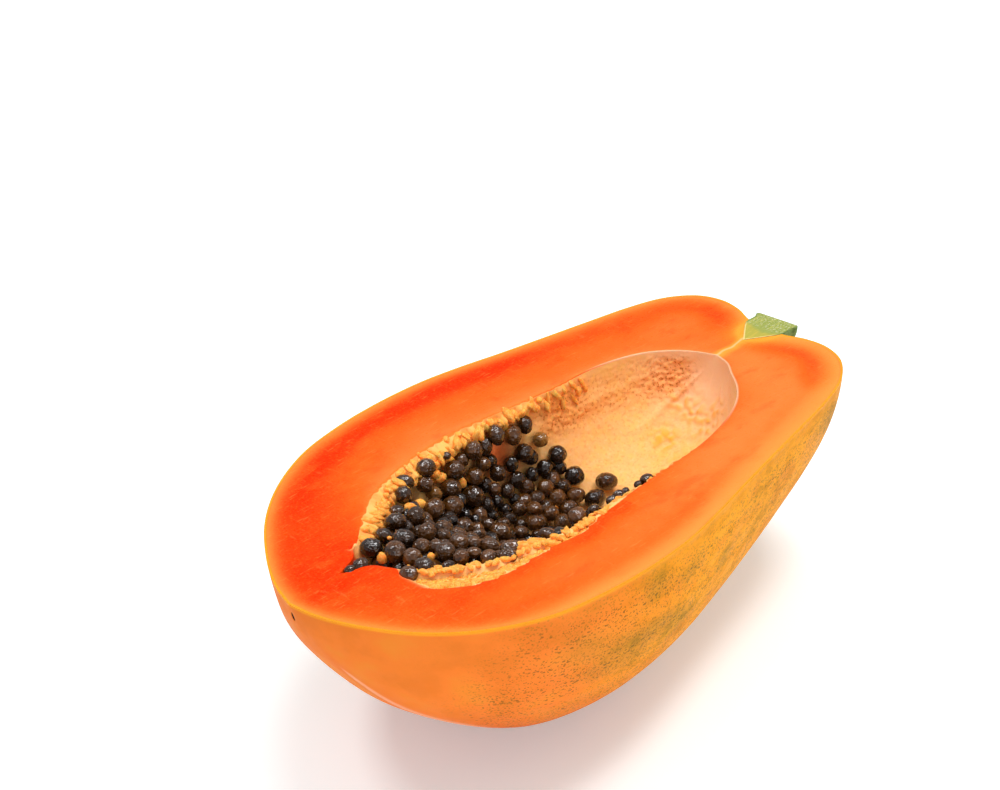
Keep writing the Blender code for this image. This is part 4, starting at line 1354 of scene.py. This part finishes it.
SEED_FINISH = finish(
    "wet_papaya_seed",
    ("#1E1006", ("tone",), SEED_WAVES, {}, SEED_STEPS, SEED_LAYERS_OF_COLOUR),
    gloss=("blotch", 0.3, 0.7, 0.14, 0.30),
    relief=(("fine", 0.08), ("crease", 1.0)),
    bump=(0.9, 0.7),
    normals=("Normal", "Coat Normal"),
    IOR=1.40,
    Specular_IOR_Level=0.15,
    Specular_Tint=linear("#D8DCF2"),
    Coat_Weight=1.0,
    Coat_IOR=1.55,
    Coat_Roughness=0.04,
)

# %% [markdown]
# Now each place gets its seed. Those in view face the camera as they were measured, with a small turn of
# their own, and the hidden ones lie any way round. The sunk ones of the near rim sit just inside the
# wall, so only their tops show past the flesh, as in the real file of seeds there.

# %% The seeds
SEED_FLATNESS = 0.97
HIDDEN_THICKNESS = (0.93, 1.03)
HIDDEN_BROWN = 0.6
# Slit and rim seeds: share of their length that they are wide, most turn, brownness
EXTRA_WIDTH, EXTRA_TILT, EXTRA_BROWN = 0.80, 0.3, 0.3
EXTRA_NUMBER = 900
SLIVER_INSIDE = 2.9
SLIVER_SEEN_AT = 0.6


def build_seeds():
    """All seeds in one piece: those in view, the hidden ones, those of the slit and of the near rim."""
    draw = random.Random(21)
    fine, plain = round_grid(*SEED_GRID), round_grid(*HIDDEN_SEED_GRID)
    parts, tones, grids = [], [], []
    for number, middle in enumerate(SEED_PLACES):
        grids.append(fine if number < len(IN_VIEW) else plain)
        if number < len(IN_VIEW):
            # A seed in view keeps its brownness as read, darker for the deep ones: painted shade among the
            # seeds.
            width, height, brown = IN_VIEW[number, 3:]
            halves = (width / 2, height / 2, SEED_FLATNESS * (width + height) / 4)
            turn = random_turn(draw, SEED_TILT) @ view_turn()
        else:
            size = HIDDEN_SEEDS[number - len(IN_VIEW), 3] / 2
            thickness = size * SEED_WIDTH * draw.uniform(*HIDDEN_THICKNESS)
            halves = (size * SEED_LENGTH, size * SEED_WIDTH, thickness)
            turn, brown = random_turn(draw, math.pi), HIDDEN_BROWN * draw.random()
        parts.append(seed_body(middle, halves, number, turn, grids[-1][0]))
        tones.append(brown)
    extra = [((x, y, z), size * SEED_LENGTH / 2) for x, y, z, size in SLIT_SEEDS]
    eye = np.array(CAMERA_PLACE)
    for across, down, width in SLIVERS_IN_VIEW:
        line = zoomed_line(across, down)
        distance = (-SLIVER_SEEN_AT * SLIVER_DEPTH - eye[2]) / line[2]
        x, y, _ = eye + distance * line
        y = max(y, SLIVER_INSIDE - float(hollow_at(x)[1]))
        extra.append(((x, y, -SLIVER_DEPTH), 0.5 * seen_size(width, distance)))
    for number, (middle, size) in enumerate(extra, EXTRA_NUMBER):
        halves = (size, EXTRA_WIDTH * size, EXTRA_WIDTH * size)
        grids.append(fine)
        parts.append(seed_body(middle, halves, number, random_turn(draw, EXTRA_TILT), fine[0]))
        tones.append(EXTRA_BROWN)
    return many_bodies("seed_heap", parts, SEED_FINISH, grids, tones)


seeds = build_seeds()
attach(seeds, "root")
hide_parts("seeds")
print("seeds:", len(seeds.data.polygons), "faces")

# %% [markdown]
# Torn pulp is the flesh's inner tissue, drier and full of air, so it scatters light: pale peach with
# yellow and orange crumbs, and only a dull wet gleam. Its lumps are one to three millimetres wide.

# %% Finish: crumbly pulp
PULP_WAVES = {
    "lump": (3.0, 3.0, EVEN),
    "crumb": (1.2, 3.0, EVEN),
}
PULP_STEPS = {
    "orange": ("lump", 0.46, 0.34),
    "yellow": ("lump", 0.52, 0.66),
    "gritty": ("crumb", 0.54, 0.68),
    "shaded": ("crumb", 0.44, 0.32),
}
PULP_LAYERS = (
    (("orange",), 0.70, "#F8842C"),
    (("yellow",), 0.50, "#FFBC5C"),
    (("gritty",), 0.35, "#FFD084"),
    (("shaded",), 0.40, "#F47E2C"),
)


PULP_FINISH = finish(
    "crumbly_papaya_pulp",
    ("#FFA84A", (), PULP_WAVES, {}, PULP_STEPS, PULP_LAYERS),
    gloss=("lump", 0.3, 0.7, 0.34, 0.52),
    relief=(("crumb", 1.0),),
    bump=(0.5, 0.4),
    IOR=FLESH_IOR,
    Specular_IOR_Level=0.2,
    Subsurface_Weight=0.4,
    Subsurface_Scale=LIGHT_INTO_FLESH,
)

# %% [markdown]
# The pulp does not only swell out of the lining: rows of soft teeth hang down from the far rim, where
# seeds were pulled out, and torn crumbs lie on the near ledge and between the seeds. They are small lumps
# rooted in what carries them, laid along the wall, because lumps that stand up look like spikes.

# %% Pulp teeth and crumbs
CRUMB_GRID = (12, 9)
TOOTH_STEP = (1.0, 3.6)
TOOTH_RANGE = (40.0, 176.0)
TOOTH_LENGTH = (2.4, 7.4)
TOOTH_WIDTH = (1.5, 3.5)
# Rows of teeth: usual depth of a root below the rim, and its spread
TOOTH_ROWS = ((1.8, 0.9), (4.6, 1.8))
TOOTH_TOP = 0.8
TOOTH_THICKNESS = 0.42
# A tooth points down the wall, to a place some columns further, lifted off it and swayed along the fruit,
# by this much on average, with this spread, and with this spread up and down
TOOTH_COLUMNS, TOOTH_LIFT, TOOTH_SWAY = 6, 0.25, (0.1, 0.3, 0.12)
# Its middle lies this share of its length ahead of its root, and this share of its width above
TOOTH_FORWARD, TOOTH_ABOVE = 0.3, 0.05
# Where the teeth get sparser towards the stem, and by how much
TEETH_THIN_FROM, TEETH_THINNER = 130, 1.6
# Crumbs of the ledge: how many, how far inside its edge and on which side, and their sizes
LEDGE_CRUMBS = 210
LEDGE_INSIDE, LEDGE_SIDE = 0.9, -8
LEDGE_CRUMB_LENGTH, LEDGE_CRUMB_WIDTH, LEDGE_CRUMB_THICKNESS = (2.2, 5.4), (1.5, 2.8), 0.40
LEDGE_CRUMB_SLOPE, LEDGE_CRUMB_SUNK = 0.15, 0.5
# Crumbs of the near rim: how many, where along the fruit, inside the wall and in height, and their sizes
RIM_CRUMBS = 46
RIM_CRUMB_RANGE, RIM_CRUMB_INSIDE, RIM_CRUMB_HEIGHT = (98.0, 142.0), (0.6, 2.6), (-2.6, -1.0)
RIM_CRUMB_WIDTH, RIM_CRUMB_HALF_LENGTH = (1.2, 2.2), (1.2, 2.4)
HIGHEST_CRUMB = 1.6
# Bumps of a lump: height and grain on a ball whose radius is 1, for the wide and the small ones
WIDE_BUMPS, SMALL_BUMPS = (0.30, 0.75), (0.14, 0.35)
UPWARD = np.array([0.0, 0.0, 1.0])


def crumb_body(middle, halves, turn, number, directions):
    """One lump round its middle, its halves along the columns of the turn."""
    bumps = 1 + WIDE_BUMPS[0] * ripple(directions, WIDE_BUMPS[1], number + 0.5)
    bumps = bumps + SMALL_BUMPS[0] * ripple(directions, SMALL_BUMPS[1], number + 0.9)
    return np.array(middle) + (directions * np.array(halves) * bumps[:, None]) @ np.array(turn).T


def frame_along(ahead, upward):
    """A turn whose columns run along one direction, across it, and up from the surface."""
    ahead = ahead / np.linalg.norm(ahead)
    across = np.cross(upward, ahead)
    across = across / np.linalg.norm(across)
    return np.stack([ahead, across, np.cross(ahead, across)], axis=1)


def far_teeth(draw):
    """Teeth along the far rim: middle, halves and turn of each."""
    normals, drops = bowl_normals(LINING_POINTS), LINING_MASKS["drop"]
    for wanted, spread in TOOTH_ROWS:
        x = TOOTH_RANGE[0]
        while x < TOOTH_RANGE[1]:
            x += draw.uniform(*TOOTH_STEP) * (1.0 if x < TEETH_THIN_FROM else TEETH_THINNER)
            row = int(np.argmin(np.abs(LINING_POINTS[:, 0, 0] - x)))
            down = max(draw.gauss(wanted, spread), TOOTH_TOP)
            column = int(np.argmin(np.abs(drops[row, :HOLLOW_TURNS // 2] - down)))
            root, up = LINING_POINTS[row, column], normals[row, column]
            ahead = LINING_POINTS[row, column + TOOTH_COLUMNS] - root
            ahead = ahead / np.linalg.norm(ahead) + TOOTH_LIFT * up
            ahead = ahead + np.array([draw.gauss(*TOOTH_SWAY[:2]), 0.0, draw.gauss(0, TOOTH_SWAY[2])])
            length, width = draw.uniform(*TOOTH_LENGTH), draw.uniform(*TOOTH_WIDTH)
            forward = ahead / np.linalg.norm(ahead) * TOOTH_FORWARD * length
            middle = root + forward + up * TOOTH_ABOVE * width
            yield middle, (length / 2, width / 2, TOOTH_THICKNESS * width), frame_along(ahead, up)


def ledge_crumbs(draw):
    """Crumbs strewn on the near ledge, each sunk a little into it."""
    on_ledge = (FACE_MASKS["ledge"] > LEDGE_INSIDE) & (FACE_POINTS[..., 0] > PULP_FROM[1])
    rows, columns = np.nonzero(on_ledge & (FACE_POINTS[..., 1] < LEDGE_SIDE))
    for _ in range(LEDGE_CRUMBS):
        pick = draw.randrange(len(rows))
        root = FACE_POINTS[rows[pick], columns[pick]]
        slope = draw.gauss(0, 1), draw.gauss(0, 1), draw.uniform(-LEDGE_CRUMB_SLOPE, LEDGE_CRUMB_SLOPE)
        length, width = draw.uniform(*LEDGE_CRUMB_LENGTH), draw.uniform(*LEDGE_CRUMB_WIDTH)
        middle = root - UPWARD * draw.uniform(0.0, LEDGE_CRUMB_SUNK) * width / 2
        halves = (length / 2, width / 2, LEDGE_CRUMB_THICKNESS * width)
        yield middle, halves, frame_along(np.array(slope), UPWARD)


def rim_crumbs(draw):
    """Small crumbs along the near rim, where the sunk seeds are."""
    for _ in range(RIM_CRUMBS):
        x = draw.uniform(*RIM_CRUMB_RANGE)
        near = float(hollow_at(x)[1])
        ahead = np.array([1.0, draw.gauss(0, 0.3), draw.gauss(0, 0.2)])
        middle = (x, draw.uniform(*RIM_CRUMB_INSIDE) - near, draw.uniform(*RIM_CRUMB_HEIGHT))
        width = draw.uniform(*RIM_CRUMB_WIDTH)
        halves = (draw.uniform(*RIM_CRUMB_HALF_LENGTH), width / 2, width / 2)
        yield middle, halves, frame_along(ahead, UPWARD)


def bits_in_view():
    """Bits of pulp between the seeds, where the photograph shows them."""
    for across, down, width, height, behind in PULP_IN_VIEW:
        middle, distance = on_heap(across, down, behind)
        width, height = seen_size(width, distance), seen_size(height, distance)
        yield middle, (width / 2, height / 2, (width + height) / 4), view_turn()


def build_crumbs():
    """Teeth, crumbs and bits as one piece, cut off just above the cut face."""
    draw = random.Random(33)
    grid = round_grid(*CRUMB_GRID)
    parts = []
    for lumps in (far_teeth(draw), ledge_crumbs(draw), rim_crumbs(draw), bits_in_view()):
        for middle, halves, turn in lumps:
            body = crumb_body(middle, halves, turn, len(parts), grid[0])
            parts.append(np.minimum(body, [np.inf, np.inf, HIGHEST_CRUMB]))
    return many_bodies("pulp_crumbs", parts, PULP_FINISH, [grid] * len(parts))


crumbs = build_crumbs()
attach(crumbs, "root")
print("crumbs:", len(crumbs.data.polygons), "faces")

# %% [markdown]
# The stub of the stalk was cut lengthwise with the fruit: green rind round a pale fibrous middle, with a
# core that tapers into the flesh. A turned half with a lid does it: rows round the stub, a dented sawn end,
# and a flat lid a hair above the flesh it runs into.

# %% The stem stub
STEM_STATIONS = (
    (238.0, 0.0),
    (244.0, 4.5),
    (250.0, 8.6),
    (253.0, 9.4),
    (257.0, 9.3),
    (259.5, 10.4),
    (260.7, 9.6),
)
STEM_ROWS = 90
STEM_TURNS = 72
STEM_LID_STEPS = 20
STEM_PROUD = 0.12
STEM_RIBS, STEM_RIBS_START = 0.35, (243.0, 250.0)
STEM_DENT = 0.9
LID_WAVE = 0.10
# The pale core in the flesh ends in a soft point a little off the middle; outside it the rind's green starts
CORE_POINT, CORE_ENDS, OUTSIDE_STARTS = 0.35, (245.5, 248.5), (249.0, 252.5)
CORE_SIDE = -2.0


def stem_sheets():
    """Rind, sawn end and lid of the half stub, and how far each point lies from the rind."""
    curve = smooth_curve(STEM_STATIONS, STEM_ROWS + 1)
    x, radius = curve[:, 0][:, None], curve[:, 1][:, None]
    angle = np.linspace(0.0, math.pi, STEM_TURNS + 1)[None, :]
    shell = np.stack([x + 0 * angle, radius * np.cos(angle), -radius * np.sin(angle)], axis=-1)
    ribs = STEM_RIBS * swells(shell, 1.6, 11.0, (5.0, 1.0, 1.0)) * np.sin(angle) ** 0.5
    shell[..., 1:] *= 1 - (ribs * ease(x, *STEM_RIBS_START) / np.maximum(radius, 1.0))[..., None]
    shell[..., 2] += STEM_PROUD
    shell[:, (0, -1), 2] = STEM_PROUD
    centre = np.array([shell[-1, 0, 0], 0.0, STEM_PROUD])
    step = np.linspace(1.0, 0.0, STEM_LID_STEPS + 1)[:, None, None]
    cap = centre + (shell[-1][None] - centre) * step
    dents = STEM_DENT * swells(cap, 1.3, 12.0)
    cap[..., 0] -= dents * ease(step[..., 0], 1.0, 0.8) * np.sin(angle)
    cap[0] = shell[-1]
    half_steps = np.linspace(1.0, -1.0, 2 * STEM_LID_STEPS + 1)[None, :]
    edge = shell[:, 0, 1][:, None]
    lid = np.stack([x + 0 * half_steps, edge * half_steps, STEM_PROUD + 0 * edge * half_steps], axis=-1)
    lid[..., 2] += LID_WAVE * ripple(lid, 1.4, 17.0) * (1 - half_steps ** 2)
    lid[:, 0], lid[:, -1] = shell[:, 0], shell[:, -1]
    lid[-1] = np.vstack([cap[:, 0], cap[::-1, -1][1:]])
    from_rind = np.maximum(edge - np.abs(lid[..., 1]), 0.0)
    lid_masks = {
        "lid": np.ones_like(from_rind),
        "from_rind": from_rind,
        "core": 1 - ease(lid[..., 0] - CORE_POINT * np.abs(lid[..., 1] - CORE_SIDE), *CORE_ENDS),
        "outside": ease(lid[..., 0], *OUTSIDE_STARTS),
    }
    cap_masks = {"sawn": np.ones_like(cap[..., 0])}
    return (shell, {}, 0), (cap, cap_masks, 0), (lid, lid_masks, 0)


print("stub:", STEM_STATIONS[-1][0] - STEM_STATIONS[0][0], "mm long with its core")

# %% [markdown]
# A green papaya stalk is watery, fibrous and hollow-celled inside its rind: the rind is mid green with
# darker stippling, the cut shows pale yellow-green with whitish fibre ends half a millimetre wide, and
# the sawn end has dried brown. All of it is matt.

# %% Finish: stalk
STALK_MASKS = ("lid", "from_rind", "core", "outside", "sawn")
STALK_WAVES = {
    "blot": (2.6, 3.0, EVEN),
    "fibre_end": (0.7, 2.0, (0.6, 1.0, 1.0)),
    "streak": (1.6, 3.0, (0.2, 1.0, 1.0)),
}
STALK_STEPS = {
    "pale_end": ("fibre_end", 0.54, 0.64),
    "dark_end": ("fibre_end", 0.44, 0.34),
    "blotted": ("blot", 0.48, 0.62),
    "yellow": ("streak", 0.48, 0.62),
    "hem": ("from_rind", 1.0, 0.35),
    "rind_dots": ("fibre_end", 0.50, 0.60),
}
STALK_LAYERS = (
    (("rind_dots",), 0.65, "#4C6428"),
    (("blotted",), 0.35, "#9AA84E"),
    (("lid",), 1.0, "#949C4A"),
    (("lid", "outside", "yellow"), 0.70, "#AEAC56"),
    (("lid", "outside", "pale_end"), 0.70, "#C4C6A6"),
    (("lid", "outside", "dark_end"), 0.65, "#66803A"),
    (("lid", "outside", "hem"), 0.70, "#5A7430"),
    (("core",), 0.90, "#B0A440"),
    (("core", "yellow"), 0.50, "#C8AE48"),
    (("core", "hem"), 0.80, "#F4D48E"),
    (("sawn",), 0.90, "#7A6636"),
    (("sawn", "pale_end"), 0.60, "#A8924E"),
    (("sawn", "dark_end"), 0.70, "#42341C"),
)


STEM_FINISH = finish(
    "green_papaya_stalk",
    ("#76904A", STALK_MASKS, STALK_WAVES, {}, STALK_STEPS, STALK_LAYERS),
    relief=(("fibre_end", 1.0),),
    bump=(0.6, 0.4),
    IOR=1.42,
    Specular_IOR_Level=0.3,
    Roughness=0.6,
)
stem = welded_piece("stem_stub", stem_sheets(), (STEM_FINISH,))
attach(stem, "root")
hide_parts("stem")
print("stem:", len(stem.data.polygons), "faces")

# %% [markdown]
# A plain white sheet and soft daylight, as in a photographer's tent. The cloth gives a low, even light
# from all sides, so the wet seeds stay dark. Three small lamps above it give them crisp highlights, and a
# wide weak one low on the near side lifts the belly. The sheet is lit from below too, as for a picture
# that is cut out on white: weakly by the fruit, where it takes the orange out of the shadow, and fully
# further off.

# %% Floor and light
FLOOR_REACH = 4.0
# The tooth of matt paper, about a millimetre and a half wide and hardly darker than white
PAPER_WAVES = {"weave": (1.5, 2.0, EVEN)}
PAPER_STEPS = {"tooth": ("weave", 0.4, 0.6)}
PAPER_LAYERS = ((("tooth",), 0.5, "#FCFCFC"),)
# Light of the tent's cloth, the same from every side
TENT_LIGHT = 0.45
# The sheet's own light, near the fruit and far from it, and where it rises, in metres from the middle
GLOW_NEAR = (0.13, 0.23, 0.25, 1.0)
GLOW_FAR = (0.75, 0.75, 0.75, 1.0)
GLOW_RISE = (0.22, 0.70)
# Lamps: place, aim, size and power
LAMPS = {
    "key": ((0.26, -0.22, 0.84), (0.0, 0.0, 0.06), 0.22, 3.5),
    "second": ((-0.30, 0.26, 0.78), (0.0, 0.0, 0.06), 0.18, 1.8),
    "window": ((0.02, 0.06, 0.90), (0.0, 0.0, 0.06), 0.20, 1.7),
    "fill": ((-0.30, -0.84, 0.34), (0.0, 0.0, 0.04), 0.5, 1.6),
}


def make_floor():
    """A wide white sheet, which isn't part of the fruit."""
    mesh = bpy.data.meshes.new("floor")
    corners = [(-1, -1), (1, -1), (1, 1), (-1, 1)]
    mesh.from_pydata([(x * FLOOR_REACH, y * FLOOR_REACH, 0.0) for x, y in corners], [], [(0, 1, 2, 3)])
    paper = finish(
        "white_paper",
        ("#FFFFFF", (), PAPER_WAVES, {}, PAPER_STEPS, PAPER_LAYERS),
        Roughness=0.9,
        Specular_IOR_Level=0.0,
        Emission_Strength=1.0,
    )
    tree = paper.node_tree
    spot = add_node(tree, "TexCoord", out="Object")
    away = add_node(tree, "VectorMath", {0: spot}, out="Value", operation="LENGTH")
    edges = {0: away, 1: GLOW_RISE[0], 2: GLOW_RISE[1]}
    share = add_node(tree, "MapRange", edges, interpolation_type="SMOOTHSTEP")
    glow = add_node(tree, "Mix", {0: share, MIX_A: GLOW_NEAR, MIX_B: GLOW_FAR}, MIX_OUT, data_type="RGBA")
    tree.links.new(glow, tree.nodes["Principled BSDF"].inputs["Emission Color"])
    mesh.materials.append(paper)
    return add_object("floor", mesh)


def make_lamp(name, spot, aim, size, power):
    """A square soft lamp that looks at its aim."""
    lamp = bpy.data.lights.new(name, "AREA")
    lamp.energy = power
    lamp.size = size
    holder = add_object(name, lamp)
    holder.location = spot
    holder.rotation_euler = (Vector(aim) - Vector(spot)).to_track_quat("-Z", "Y").to_euler()


make_floor()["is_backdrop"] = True
for lamp_name, setting in LAMPS.items():
    make_lamp(lamp_name, *setting)
world = bpy.data.worlds.new("tent")
bpy.context.scene.world = world
world.use_nodes = True
cloth = world.node_tree.nodes["Background"]
cloth.inputs["Color"].default_value = linear("#FFFFFF")
cloth.inputs["Strength"].default_value = TENT_LIGHT
bpy.context.scene.view_settings.view_transform = "Standard"
print("lamps:", ", ".join(LAMPS))

# %% [markdown]
# Last, the size of the dressed fruit is set beside the size of its solids, because the finer pieces
# must stay within them.

# %% Size and finish
NEW_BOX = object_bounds()
boxes = {"cad": CAD_BOX, "visual": NEW_BOX}
{name: [list(corner) for corner in box] for name, box in boxes.items()}
print("model box:", [[round(value, 4) for value in corner] for corner in NEW_BOX])
